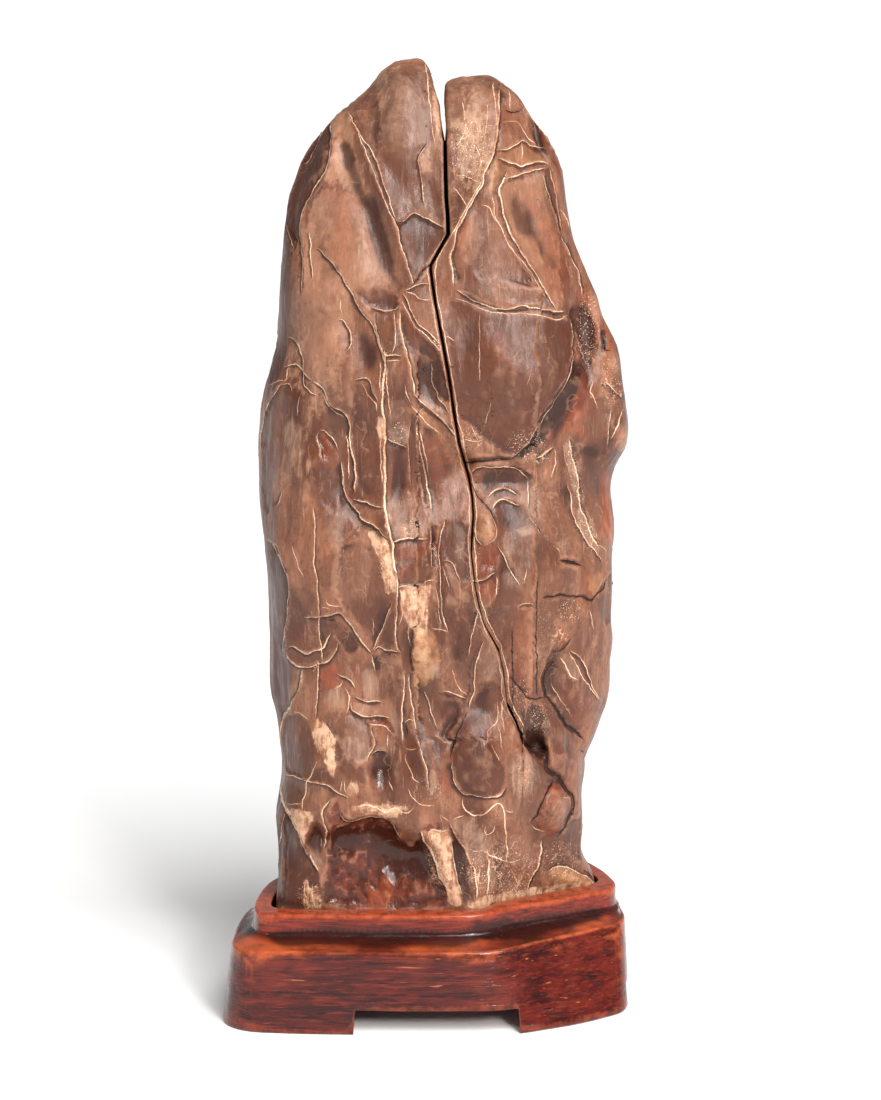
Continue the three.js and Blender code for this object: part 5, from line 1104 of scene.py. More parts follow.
def plate_relief(places):
    """Height in millimetres that the plates' own forms add."""
    height = np.zeros(len(places))
    for _, _, _, form, amount, outline in PLATES:
        if not form:
            continue
        index, depth = depth_inside(places, outline, 1.0)
        share = smoothstep(-0.4, 0.7, depth)
        corners = np.array(outline, float)
        low, size = corners.min(0), np.maximum(np.ptp(corners, axis=0), 1)
        across, down = ((places[index] - low) / size).clip(0, 1).T
        if form in ("in", "out"):
            height[index] += (0.6 if form == "out" else -0.6) * amount * smoothstep(-0.3, 4.0, depth)
        else:
            lean = {"left": 1 - across, "right": across, "below": down}[form]
            height[index] -= 1.1 * amount * share * lean
    return height


points, normals = points_of(stone_bm), normals_of(stone_bm)
places = wobbled(points, seen(points))
turned = facing(normals, points)
front = smoothstep(0.04, 0.3, turned)
behind = smoothstep(-0.04, -0.3, turned)
print("points that face the camera:", int((front > 0.5).sum()))

# %% [markdown]
# ## Facets
# Between the drawn marks, and all over the back, the stone has broken into flat facets of many sizes. Each
# facet is a cell of a Voronoi pattern with a lean of its own: the points of the cell rise to one side. That
# is quicker than modelling facets one by one, and no two are alike. The vector noise that bends their borders
# starts from the clock unless it is given a seed, so it gets one, and the facets come out the same each run.

# %% Facets
BIG_FACET, SMALL_FACET = 24.0, 10.0
FACET_SEED = 3
noise.seed_set(FACET_SEED)


def facets(points, size, stretch, seed):
    """For each point, how high it lies on its tilted facet and how far the facet's border is."""
    scale = 1 / (size * MM)
    tilts, borders = [], []
    for x, y, z in points:
        at = Vector((x * scale + seed, y * scale, z * scale / stretch))
        at += 0.3 * noise.noise_vector(at * 1.7)
        distances, middles = noise.voronoi(at)
        lean = noise.cell_vector(middles[0] * 7.3)
        tilts.append(lean.dot(at - middles[0]))
        borders.append(distances[1] - distances[0])
    return np.array(tilts), np.array(borders)


big_tilt, big_border = facets(points, BIG_FACET, 2.6, 5.0)
small_tilt, small_border = facets(points, SMALL_FACET, 2.0, 11.0)
print("facet tilts from", big_tilt.min().round(2), "to", big_tilt.max().round(2))

# %% [markdown]
# ## The stone's surface
# All the heights are added up first. Spikes are cut by comparing each height with its neighbours' mean.

# %% Add up the heights
SPIKE = 0.8
BIG_LEAN, SMALL_LEAN = 3.2, 1.2
rough_behind = 0.8 * smoothstep(0.15, 0.5, noise_at(points, 38, 1, 40)) * (1 - front)
rough = np.maximum(patch(places, "rough") * front, rough_behind)
wet_hollow = np.zeros(len(points))
for name, _, _, _, amount, outline in PLATES:
    if name == "maroon" and amount > 2:
        inner, depth = depth_inside(places, outline, 0.0)
        wet_hollow[inner] = np.maximum(wet_hollow[inner], front[inner] * smoothstep(0, 3, depth))
grain = 0.55 * noise_at(points, 13, 2.6, 1) + 0.28 * noise_at(points, 5, 2.2, 2)
grain += 0.1 * noise_at(points, 2.2, 1.5, 6)
crust = 0.55 * noise_at(points, 3.6, 1.0, 4) + 0.45 * noise_at(points, 1.9, 1.0, 5)
height = front * (edge_relief(places, EDGES, CRACKS) + 0.6 * swellings(places) + plate_relief(places))
height += behind * edge_relief(places, BACK_EDGES, BACK_CRACKS)
share = 0.35 + 0.5 * behind
height += share * BIG_LEAN * big_tilt * smoothstep(0.0, 0.24 - 0.14 * behind, big_border)
height += share * SMALL_LEAN * small_tilt * smoothstep(0.0, 0.2 - 0.06 * behind, small_border)
height += 0.4 * grain + (0.5 * rough + 1.2 * wet_hollow) * crust
_, pairs, count = net_of(stone_bm)
around = neighbour_mean(height[:, None], pairs, count)[:, 0]
height = around + np.clip(height - around, -SPIKE, SPIKE)
print("relief from", height.min().round(2), "to", height.max().round(2), "mm")

# %% [markdown]
# ## Moving the stone's points
# Each point is pushed along its normal by its height. Beside the main fissure and at the foot nothing is pushed,
# so the stone still fits its recess. Points that stick out of their neighbours' surface are drawn back, and last
# the walls of the fissure are drawn together as it runs down, because it is open only at the top.

# %% Move the stone's points
STICKING_OUT = 0.5
KEPT_INSIDE = 0.0002
PINCH, PINCH_REACH = 0.78, 5.0
index, away, *_ = near_line(seen(points), MAIN_CRACK, 4)
calm = np.ones(len(points))
calm[index] = np.clip((away - 1.1) / 1.6, 0, 1)
calm *= smoothstep(0.0505, 0.056, points[:, 2])
moved = points + normals * (calm * height * MM)[:, None]
low, high = np.array(cad_box[0]), np.array(cad_box[1])
moved = np.clip(moved, low + KEPT_INSIDE, high - KEPT_INSIDE)
moved[:, 2] = np.maximum(moved[:, 2], points[:, 2].min())
for _ in range(4):
    off = moved - neighbour_mean(moved, pairs, count)
    size = np.linalg.norm(off, axis=1, keepdims=True) / MM
    moved = moved - off * np.clip(1 - STICKING_OUT / np.maximum(size, 1e-6), 0, 1) * (calm > 0.99)[:, None]

index, away, hand, run, _ = near_line(seen(points), MAIN_CRACK, PINCH_REACH)
closer = PINCH * (1 - away / PINCH_REACH) * smoothstep(45, 90, run) * smoothstep(0.0, 0.5, away)
closer *= 1 + 0.35 * noise_at(points[index], 12, 1, 50)
moved[index, 0] += hand * closer * MM
put_back(stone_bm, moved)
stone_bm.normal_update()
print("points moved by up to", (np.linalg.norm(moved - points, axis=1).max() / MM).round(2), "mm")

# %% [markdown]
# ## Painting by points
# A material can't know where the drawn lines are, so the mesh carries them as attributes. For a thin line the
# distance to it is stored, with a sign for the side, and the material compares it with the line's half width:
# that stays sharp between the points. Lines that run close together are shared out over four channels, so that
# each channel holds one line at a time. Plates and patches are stored as plain amounts.

# %% Share the lines out over channels
CHANNELS = 4
FAR = 6.0
CRACK_SHARE = 0.4


def shared_out(lines):
    """For each line, the channel in which the lines already placed are farthest away."""
    placed = [[] for _ in range(CHANNELS)]
    chosen = []
    for line in lines:
        spots = rounded(rounded(line))
        gaps = [
            min((np.hypot(*(spots[:, None] - other[None]).T).min() for other in channel), default=1e9)
            for channel in placed
        ]
        best = int(np.argmax(gaps))
        placed[best].append(spots)
        chosen.append(best)
    return chosen


def paint_lines(places, weight, lines, distances, widths):
    """Writes each line's distance, above 0 on the low side, and half width, below 0 where there is no drop."""
    for (half, line, side), channel in zip(lines, shared_out([line for _, line, _ in lines])):
        index, away, hand, run, whole = near_line(places, rounded(line), FAR)
        if side:
            hand = hand * low_side(line, side)
        nearer = (away < np.abs(distances[index, channel])) & (weight[index] > 0.02)
        index, away, hand, run = index[nearer], away[nearer], hand[nearer], run[nearer]
        distances[index, channel] = away * hand
        ends = 0.15 + 0.85 * smoothstep(0, 4, np.minimum(run, whole - run))
        past = np.minimum(run, whole - run) <= 0.01
        width = np.where(past, 0, half * ends) * (1 - smoothstep(1.9, 2.8, away)) * weight[index]
        widths[index, channel] = width if side else -width


stone_places = wobbled(moved, seen(moved))
turned_now = facing(normals_of(stone_bm), moved)
in_view, out_of_view = smoothstep(-0.08, 0.14, turned_now), smoothstep(0.08, -0.14, turned_now)
vein_distance = np.full((len(points), CHANNELS), FAR)
vein_width = np.zeros((len(points), CHANNELS))
crack_distance, crack_width = vein_distance.copy(), vein_width.copy()
for weight, edges, cracks in ((in_view, EDGES, CRACKS[1:]), (out_of_view, BACK_EDGES, BACK_CRACKS)):
    veins = [(half, line, side) for side, _, _, half, line in edges if half]
    paint_lines(stone_places, weight, veins, vein_distance, vein_width)
    gaps = [(CRACK_SHARE * half, line, None) for _, half, line in cracks]
    paint_lines(stone_places, weight, gaps, crack_distance, crack_width)
print("points that carry a vein:", int((np.abs(vein_width).max(1) > 0).sum()))

# %% [markdown]
# ## High and low parts of the surface
# The material darkens the hollows with painted shade and makes the crests paler, partly as wear and partly as
# a painted highlight. Each point is compared with the surface smoothed around it: two rounds of smoothing give
# the fine relief, and many rounds give the broad one.

# %% High and low parts of the surface
def standing_proud(bm, times):
    """How far each point stands out of the surface smoothed a number of times, in millimetres."""
    here, pairs, count = net_of(bm)
    smooth = here.copy()
    for _ in range(times):
        smooth = neighbour_mean(smooth, pairs, count)
    return ((here - smooth) * normals_of(bm)).sum(1) / MM


stone_fine = standing_proud(stone_bm, 2)
stone_broad = standing_proud(stone_bm, 24)
for name, values in (("fine", stone_fine), ("broad", stone_broad)):
    print(name, "relief in mm:", np.percentile(values, [2, 50, 98]).round(3))

# %% [markdown]
# ## The stone as an object
# The mesh goes into an object that rides on the part's body and takes the place of the CAD stone. Its patches
# and plates are stored as attributes, four numbers to each. On the back, where nothing is drawn, clouds of
# noise lay the patches instead.

# %% Make the stone's object
PATCH_NAMES = ("cream", "tan", "rust", "bloom", "plum", "maroon", "painted_shade", "rough")


def new_piece(bm, name, node):
    """A mesh object at the origin that rides on the part's one body and stands for a CAD node."""
    mesh = bpy.data.meshes.new(name)
    bm.to_mesh(mesh)
    bm.free()
    mesh.polygons.foreach_set("use_smooth", np.ones(len(mesh.polygons), bool))
    piece = bpy.data.objects.new(name, mesh)
    bpy.context.scene.collection.objects.link(piece)
    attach(piece, "root")
    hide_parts(node)
    return piece


def carry(piece, name, values):
    """Stores one to four numbers per point as an attribute of the mesh."""
    full = np.zeros((len(values), 4), np.float32)
    full[:, : values.shape[1]] = values
    piece.data.attributes.new(name, "FLOAT_COLOR", "POINT").data.foreach_set("color", full.ravel())


PLATE_TONES = ("plum", "tan", "pale", "deep", "maroon", "rust", "bloom", "shade", "cream")
BORDER_REACH, CRISP = 2.5, 0.8


def plate_tones(places, weight):
    """For each tone, how deep a point lies in a plate (0.5 on its border) and how strong the plate's tone is."""
    border = {name: np.zeros(len(places)) for name in PLATE_TONES}
    strength = {name: np.zeros(len(places)) for name in PLATE_TONES}
    for name, strong, soft, _, _, outline in PLATES:
        slope = 0.5 / BORDER_REACH * CRISP / max(soft, CRISP)
        index, depth = depth_inside(places, outline, 0.5 / slope)
        share = np.clip(0.5 + slope * depth, 0, 1)
        more = share > border[name][index]
        border[name][index[more]] = share[more]
        strength[name][index[more]] = strong * weight[index[more]]
    return border, strength


def in_fours(values):
    """Names grouped by four, because an attribute carries four numbers."""
    return [values[k : k + 4] for k in range(0, len(values), 4)]


plate_depth, plate_strength = plate_tones(stone_places, in_view)
spread = {name: patch(stone_places, name) * front for name in PATCH_NAMES}
for seed, (name, low, strength) in enumerate((
    ("tan", 0.34, 0.7), ("rust", 0.22, 0.7), ("bloom", 0.26, 0.6), ("plum", 0.12, 0.7), ("maroon", 0.36, 0.6),
    ("cream", 0.46, 0.9),
)):
    cloud = smoothstep(low, low + 0.3, noise_at(moved, 34, 1.8, 60 + 7 * seed))
    spread[name] = np.maximum(spread[name], strength * cloud * (1 - front))
spread["rough"] = rough
stone = new_piece(stone_bm, "scholar_stone", "stone")
for name, values in (
    ("vein_distance", vein_distance), ("vein_width", vein_width),
    ("crack_distance", crack_distance), ("crack_width", crack_width),
):
    carry(stone, name, values)
for number, names in enumerate(in_fours(PATCH_NAMES)):
    carry(stone, f"patches_{number}", np.stack([spread[n] for n in names], 1))
for number, names in enumerate(in_fours(PLATE_TONES)):
    carry(stone, f"plate_border_{number}", np.stack([plate_depth[n] for n in names], 1))
    carry(stone, f"plate_strength_{number}", np.stack([plate_strength[n] for n in names], 1))
carry(stone, "relief", np.stack([stone_fine, stone_broad], 1))
print("stone piece:", len(stone.data.polygons), "triangles")

# %% [markdown]
# ## The stand
# It is one block of dark red hardwood: four low feet, a body that leans in as it rises, a sloping shoulder and a
# raised rim round the recess. Its outlines are smooth closed curves through the same points as the CAD solid's,
# so rings of vertices are laid on them at each height and bridged. The edges are rounded by extra rings, and
# the arches between the feet are cut out afterwards with two long wedges.

# %% Plans of the stand
FOOT_PLAN = [
    (-92, -58.5), (-72, -62), (-34, -64), (8, -65), (30, -65), (42, -63.5), (51, -61), (60, -57), (77, -49),
    (91, -40), (102, -30.5), (105.7, -15), (105.7, 5), (104.5, 31), (97, 52), (80, 62.5), (44, 63.4), (4, 61.2),
    (-34, 58), (-66, 49), (-88, 34.5), (-100, 16), (-104.5, -4), (-105.5, -27), (-102.5, -49),
]
BODY_PLAN = [
    (-91, -58), (-70, -60), (-32, -60.5), (8, -61), (28, -60), (39, -57), (47, -51.5), (55, -45), (72, -34),
    (89, -22), (101, -12.5), (104.3, 0), (103.5, 14), (101, 33), (93, 51), (77, 60), (43, 61), (5, 59),
    (-31, 55), (-62, 46), (-82, 32), (-94, 14), (-98, -4), (-99.4, -25), (-99, -47),
]
RIM_PLAN = [
    (-84, -45), (-66, -47), (-30, -48), (8, -48), (24, -46.5), (33, -42.5), (40, -37), (48, -31.5), (66, -22),
    (84, -11.5), (96, -3.5), (99.7, 7), (97.5, 22), (93, 35.5), (85, 49.5), (72, 55), (42, 55), (6, 52.5),
    (-28, 48), (-56, 40), (-74, 28), (-83.5, 12), (-87.5, -6), (-89, -23), (-88.5, -36),
]
RECESS_PLAN = [
    (-78, -33), (-64, -36), (-30, -37), (4, -37), (24, -36.5), (31, -32), (36, -25.5), (43, -19.5), (60, -9),
    (76, 0), (87.5, 7.5), (90.5, 14), (88.5, 24), (83.5, 34.5), (76, 42), (65, 46), (40, 46), (8, 43.5),
    (-25, 39), (-51, 31.5), (-66.5, 21), (-74.5, 8), (-78.5, -7), (-80, -20), (-80, -28),
]
STEPS = 6


def closed_curve(plan, inset=0.0):
    """Points of a smooth closed curve through a plan, drawn in by inset: a centripetal Catmull-Rom curve."""
    p = np.array(plan, float)
    before, after, later = np.roll(p, 1, 0), np.roll(p, -1, 0), np.roll(p, -2, 0)
    gap = [np.sqrt(np.linalg.norm(b - a, axis=1))[:, None] for a, b in ((before, p), (p, after), (after, later))]
    out = (p - before) / gap[0] - (after - before) / (gap[0] + gap[1]) + (after - p) / gap[1]
    into = (after - p) / gap[1] - (later - p) / (gap[1] + gap[2]) + (later - after) / gap[2]
    out, into = out * gap[1], into * gap[1]
    t = (np.arange(STEPS) / STEPS)[None, :, None]
    a, b = p[:, None], out[:, None]
    c = (-3 * p + 3 * after - 2 * out - into)[:, None]
    d = (2 * p - 2 * after + out + into)[:, None]
    curve = (a + b * t + c * t**2 + d * t**3).reshape(-1, 2)
    tangent = (b + 2 * c * t + 3 * d * t**2).reshape(-1, 2)
    tangent /= np.linalg.norm(tangent, axis=1, keepdims=True)
    return curve + inset * np.stack([-tangent[:, 1], tangent[:, 0]], 1)


def arc(middle_inset, middle_height, radius, first, last, count):
    """Insets and heights of a quarter round edge, from angle first to last in degrees."""
    for k in range(count + 1):
        angle = math.radians(first + (last - first) * k / count)
        yield middle_inset - radius * math.cos(angle), middle_height + radius * math.sin(angle)


def between(one, other, share, inset=0.0):
    """A curve a share of the way from one plan to another."""
    return (1 - share) * closed_curve(one, inset) + share * closed_curve(other, inset)


# %% Rings of the stand
rings = []
for inset, level in arc(1.5, 1.5, 1.5, -90, 0, 4):
    rings.append((closed_curve(FOOT_PLAN, inset), level))
for share_up, level in ((0.08, 4.5), (0.35, 16), (0.62, 27), (0.9, 38)):
    rings.append((between(FOOT_PLAN, BODY_PLAN, share_up), level))
for inset, level in arc(2.2, 40.8, 2.2, 0, 90, 5):
    rings.append((closed_curve(BODY_PLAN, inset), level))
for share_up, inset, level in ((0.3, 1.0, 43.9), (0.6, 0.4, 45.1)):
    rings.append((between(BODY_PLAN, RIM_PLAN, share_up, inset), level))
for inset, level in ((-2.0, 46.4), (-0.7, 47.1), (-0.1, 48.2)):
    rings.append((closed_curve(RIM_PLAN, inset), level))
for inset, level in arc(1.7, 56.3, 1.7, 0, 90, 4):
    rings.append((closed_curve(RIM_PLAN, inset), level))
for inset, level in arc(-1.0, 57.0, 1.0, 90, 180, 3):
    rings.append((closed_curve(RECESS_PLAN, inset), level))
rings.append((closed_curve(RECESS_PLAN, 0.0), 50.0))
print(len(rings), "rings of", len(rings[0][0]), "points")

# %% [markdown]
# ## Building the stand
# Each ring of points is a circle of vertices laid on its curve, and bridge_loops closes the wall between two
# rings. The two wedges are cut out by a boolean modifier, whose result is kept as a plain mesh, and the sharp
# edges that it leaves are bevelled.

# %% Build the stand
ARCH_SHARP, ARCH_BEVEL = math.radians(50), 0.0006
RESTING, ARCH_TOP = 0.0008, 0.013


def loft(rings):
    """A closed solid from rings of points: each is a circle laid on its curve, and neighbours are bridged."""
    bm = bmesh.new()
    sides = len(rings[0][0])
    loops = []
    for curve, level in rings:
        made = bmesh.ops.create_circle(bm, cap_ends=False, radius=1.0, segments=sides)["verts"]
        for v, (x, y) in zip(made, curve):
            v.co = (x * MM, y * MM, level * MM)
        loops.append(list(dict.fromkeys(e for v in made for e in v.link_edges)))
    for one, other in zip(loops, loops[1:]):
        bmesh.ops.bridge_loops(bm, edges=one + other)
    for loop in (loops[0], loops[-1]):
        bmesh.ops.contextual_create(bm, geom=loop)
    bmesh.ops.triangulate(bm, faces=[f for f in bm.faces if len(f.verts) > 4])
    bmesh.ops.recalc_face_normals(bm, faces=bm.faces)
    return bm


ARCHES = ((-36, 46.5, 0), (-20, 20, 90))
ARCH_LEAN, ARCH_HEIGHT, ARCH_REACH = 1.5, 12.5, 140


def wedge(low, high, turn):
    """A long bar whose sides lean in towards its top: the space between two feet."""
    bm = bmesh.new()
    bmesh.ops.create_cube(bm, size=1.0)
    for v in bm.verts:
        up = v.co.z > 0
        lean = 0 if up else ARCH_LEAN
        x = (high + lean) if v.co.x > 0 else (low - lean)
        y = ARCH_REACH if v.co.y > 0 else -ARCH_REACH
        v.co = (x * MM, y * MM, (ARCH_HEIGHT if up else -5) * MM)
    bmesh.ops.rotate(bm, verts=bm.verts, cent=(0, 0, 0), matrix=Matrix.Rotation(math.radians(turn), 3, "Z"))
    return bm


def as_object(bm, name):
    mesh = bpy.data.meshes.new(name)
    bm.to_mesh(mesh)
    bm.free()
    made = bpy.data.objects.new(name, mesh)
    bpy.context.scene.collection.objects.link(made)
    return made


block = as_object(loft(rings), "stand_block")
cutters = [as_object(wedge(*arch), f"arch_{k}") for k, arch in enumerate(ARCHES)]
for cutter in cutters:
    cut = block.modifiers.new(cutter.name, "BOOLEAN")
    cut.object = cutter
    cut.solver = "EXACT"
stand_bm = bmesh.new()
stand_bm.from_mesh(block.evaluated_get(bpy.context.evaluated_depsgraph_get()).to_mesh())
for spare in [block, *cutters]:
    bpy.data.objects.remove(spare)
bmesh.ops.remove_doubles(stand_bm, verts=stand_bm.verts, dist=2e-5)
stand_bm.normal_update()
sharp = [
    e for e in stand_bm.edges
    if len(e.link_faces) == 2 and e.calc_face_angle() > ARCH_SHARP
    and RESTING < max(v.co.z for v in e.verts) < ARCH_TOP
]
print("stand block:", len(stand_bm.faces), "faces,", len(sharp), "sharp edges at the arches")
bmesh.ops.bevel(stand_bm, geom=sharp, offset=ARCH_BEVEL, affect="EDGES", segments=2, profile=0.5, material=-1)
bmesh.ops.triangulate(stand_bm, faces=stand_bm.faces)

# %% [markdown]
# ## Wear on the stand
# Carved and lacquered wood is never quite flat. Its edges are split to 3 mm, a slow noise makes the faces
# uneven by a fraction of a millimetre, and the feet stay flat where they rest.

# %% Refine and wear the stand
split_long(stand_bm, lambda middles, normals: np.full(len(middles), 3.0), 6)
stand_bm.normal_update()
stand_points, stand_normals = points_of(stand_bm), normals_of(stand_bm)
uneven = 0.22 * noise_at(stand_points, 22, 0.5, 14) + 0.1 * noise_at(stand_points, 7, 0.6, 15)
uneven *= smoothstep(0.001, 0.006, stand_points[:, 2])
worn = stand_points + stand_normals * ((uneven - 0.1) * MM)[:, None]
worn = np.clip(worn, np.array(cad_box[0]), np.array(cad_box[1]))
put_back(stand_bm, worn)
stand_bm.normal_update()
stand_edge = standing_proud(stand_bm, 6)
stand_broad = standing_proud(stand_bm, 40)
stand = new_piece(stand_bm, "hardwood_stand", "stand")
carry(stand, "relief", np.stack([stand_edge, stand_broad], 1))
print("stand piece:", len(stand.data.polygons), "triangles")

# %% [markdown]
# ## Helpers for the materials
# Both materials are built from nodes. A short helper adds one node, sets its values and links its inputs, which
# keeps the recipes readable.

# %% Node helpers
def feed(tree, socket, value):
    """Links a socket to another node's output, or sets it to a number or colour."""
    if isinstance(value, bpy.types.NodeSocket):
        tree.links.new(value, socket)
    else:
        socket.default_value = value


def put(tree, kind, settings=None, **values):
    """Adds a node. A value may be a number, a colour or another node's output socket."""
    made = tree.nodes.new(kind)
    for key, value in (settings or {}).items():
        setattr(made, key, value)
    for key, value in values.items():
        feed(tree, made.inputs[key.replace("_", " ")], value)
    return made


def math_node(tree, operation, *values, clamp=False):
    made = put(tree, "ShaderNodeMath", {"operation": operation, "use_clamp": clamp})
    for socket, value in zip(made.inputs, values):
        feed(tree, socket, value)
    return made.outputs[0]


def times(tree, one, other, clamp=False):
    return math_node(tree, "MULTIPLY", one, other, clamp=clamp)


def add_scaled(tree, value, factor, base):
    """A value times a factor, added to a base."""
    return math_node(tree, "MULTIPLY_ADD", value, factor, base)


def mean(tree, one, other):
    return times(tree, math_node(tree, "ADD", one, other), 0.5)


def swing(tree, noise_value, factor):
    """A noise of 0 to 1 as a swing to both sides of 0."""
    return times(tree, math_node(tree, "SUBTRACT", noise_value, 0.5), factor)


def ramp(tree, value, low, high, to_low=0.0, to_high=1.0):
    """Smooth step of a value between two limits."""
    made = put(tree, "ShaderNodeMapRange", {"interpolation_type": "SMOOTHSTEP"}, Value=value)
    for key, number in (("From Min", low), ("From Max", high), ("To Min", to_low), ("To Max", to_high)):
        made.inputs[key].default_value = number
    return made.outputs["Result"]


def mix(tree, share, one, other, blend="MIX"):
    """Mixes two colours. A Mix node has sockets for each kind of value: 6, 7 and output 2 are its colours."""
    made = put(tree, "ShaderNodeMix", {"data_type": "RGBA", "blend_type": blend, "clamp_factor": True})
    for number, value in ((0, share), (6, one), (7, other)):
        feed(tree, made.inputs[number], value)
    return made.outputs[2]


def tone(red, green, blue):
    """A colour given as the eye sees it, 0 to 255, turned into the linear values that a shader wants."""
    linear = (((c / 255 + 0.055) / 1.055) ** 2.4 if c > 10 else c / 255 / 12.92 for c in (red, green, blue))
    return (*linear, 1.0)


def stretched(tree, x, y, z):
    """Object coordinates stretched along the axes."""
    coordinate = tree.nodes.new("ShaderNodeTexCoord").outputs["Object"]
    return put(tree, "ShaderNodeMapping", Vector=coordinate, Scale=(x, y, z)).outputs["Vector"]


def cloud(tree, vector, scale, detail=4.0, rough=0.55, warp=0.0):
    """A noise from 0 to 1. The scale is per metre, so 100 gives blotches of about a centimetre."""
    values = {"Scale": scale, "Detail": detail, "Roughness": rough, "Distortion": warp}
    return put(tree, "ShaderNodeTexNoise", Vector=vector, **values).outputs["Fac"]


def attribute(tree, name):
    """The four numbers of a point attribute."""
    node = put(tree, "ShaderNodeAttribute", {"attribute_name": name})
    split = put(tree, "ShaderNodeSeparateColor", Color=node.outputs["Color"])
    return [*split.outputs, node.outputs["Alpha"]]


def new_material(name):
    """A material with its node tree and its shader."""
    material = bpy.data.materials.new(name)
    material.use_nodes = True
    return material, material.node_tree, material.node_tree.nodes["Principled BSDF"]


def dress(piece, material):
    piece.data.materials.clear()
    piece.data.materials.append(material)
    print(material.name, "has", len(material.node_tree.nodes), "nodes")


# %% [markdown]
# ## Crisp lines from stored distances
# Veins and cracks use the same effect, so it is a node group: it takes a signed distance, a half width, a wobble
# of the width and a softness. Its first output is 1 on the line and 0 beside it, and the second one is a band
# on the low side, where a raised edge throws its own small shadow.

# %% Node group for thin lines
def line_group():
    tree = bpy.data.node_groups.new("thin_line", "ShaderNodeTree")
    for name, default in (("Distance", 3.0), ("Half Width", 0.0), ("Wobble", 0.0), ("Softness", 0.25)):
        tree.interface.new_socket(name, in_out="INPUT", socket_type="NodeSocketFloat").default_value = default
    for name in ("Line", "Shadow"):
        tree.interface.new_socket(name, in_out="OUTPUT", socket_type="NodeSocketFloat")
    given, out = tree.nodes.new("NodeGroupInput").outputs, tree.nodes.new("NodeGroupOutput").inputs
    plain = math_node(tree, "ABSOLUTE", given["Half Width"])
    width = times(tree, plain, math_node(tree, "ADD", given["Wobble"], 1.0))
    inside = math_node(tree, "SUBTRACT", width, math_node(tree, "ABSOLUTE", given["Distance"]))
    edge = math_node(tree, "DIVIDE", inside, math_node(tree, "MAXIMUM", given["Softness"], 0.01))
    line = math_node(tree, "ADD", edge, 0.5, clamp=True)
    tree.links.new(times(tree, line, ramp(tree, plain, 0.02, 0.08)), out["Line"])
    beyond = math_node(tree, "SUBTRACT", given["Distance"], width)
    band = times(tree, ramp(tree, beyond, 0.0, 0.15), ramp(tree, beyond, 1.5, 0.2))
    tree.links.new(times(tree, band, ramp(tree, given["Half Width"], 0.02, 0.1)), out["Shadow"])
    return tree


THIN_LINE = line_group()


def lines_mask(tree, name, wobble, softness):
    """The strongest of the four channels of one kind of line, and of the shadows beside them."""
    found = {}
    for distance, width in zip(attribute(tree, name + "_distance"), attribute(tree, name + "_width")):
        group = put(tree, "ShaderNodeGroup", {"node_tree": THIN_LINE})
        for key, value in (("Distance", distance), ("Half Width", width), ("Wobble", wobble)):
            tree.links.new(value, group.inputs[key])
        group.inputs["Softness"].default_value = softness
        for output in group.outputs:
            before = found.get(output.name)
            found[output.name] = math_node(tree, "MAXIMUM", before, output) if before else output
    return found["Line"], found["Shadow"]


# %% [markdown]
# ## The stone's material
# The base is a brown-red that drifts between a few tones, with fine fibres along the stone's length. The patches
# and plates come on top, then painted shade in the hollows and creases, pale crests that are part wear and part
# painted highlight, the pale veins with a painted shadow beside them, and last the black cracks. It could be one
# image laid round the stone, but noises and stored lines have no seams and stay sharp from near by.

# %% Base colour of the stone's material
stone_look, tree, shader = new_material("waxed_brown_stone")
even, long, fibre = stretched(tree, 1, 1, 1), stretched(tree, 1, 1, 0.4), stretched(tree, 1, 1, 0.09)
cream, tan, rust, bloom = attribute(tree, "patches_0")
plum, maroon, painted_shade, rough = attribute(tree, "patches_1")
fine, broad, *_ = attribute(tree, "relief")

drift = cloud(tree, long, 38, 5, 0.6, 0.6)
strands = cloud(tree, fibre, 520, 4, 0.6)
broken = cloud(tree, even, 210, 5, 0.65)
speckle = cloud(tree, even, 1500, 2, 0.5)
blotch = cloud(tree, long, 95, 4, 0.6, 0.4)

colour = mix(tree, ramp(tree, drift, 0.32, 0.62), tone(82, 47, 34), tone(136, 92, 71))
colour = mix(tree, ramp(tree, blotch, 0.5, 0.74, 0, 0.5), colour, tone(162, 120, 99))
colour = mix(tree, ramp(tree, blotch, 0.48, 0.28, 0, 0.5), colour, tone(104, 52, 34))
colour = mix(tree, ramp(tree, cloud(tree, long, 60, 4, 0.6, 0.5), 0.54, 0.7, 0, 0.55), colour, tone(100, 76, 62))
colour = mix(tree, ramp(tree, cloud(tree, even, 420, 4, 0.7), 0.5, 0.66, 0, 0.4), colour, tone(70, 40, 28))
print("base colour from five noises")

# %% [markdown]
# ## Patches in the stone's material
# The stored ovals are smooth, so each is torn by a noise before its colour is laid on: a blotchy noise for the
# plain patches and a fibrous one for bloom and cream.

# %% Patches in the stone's material
def patched(tree, colour, amount, over, ragged, strength=1.0):
    """Lays a patch colour over another, with its border broken by a noise."""
    torn = math_node(tree, "ADD", swing(tree, ragged, 1.5), amount)
    share = ramp(tree, times(tree, torn, ramp(tree, amount, 0.02, 0.2)), 0.3, 0.75, 0, strength)
    return mix(tree, share, colour, over)


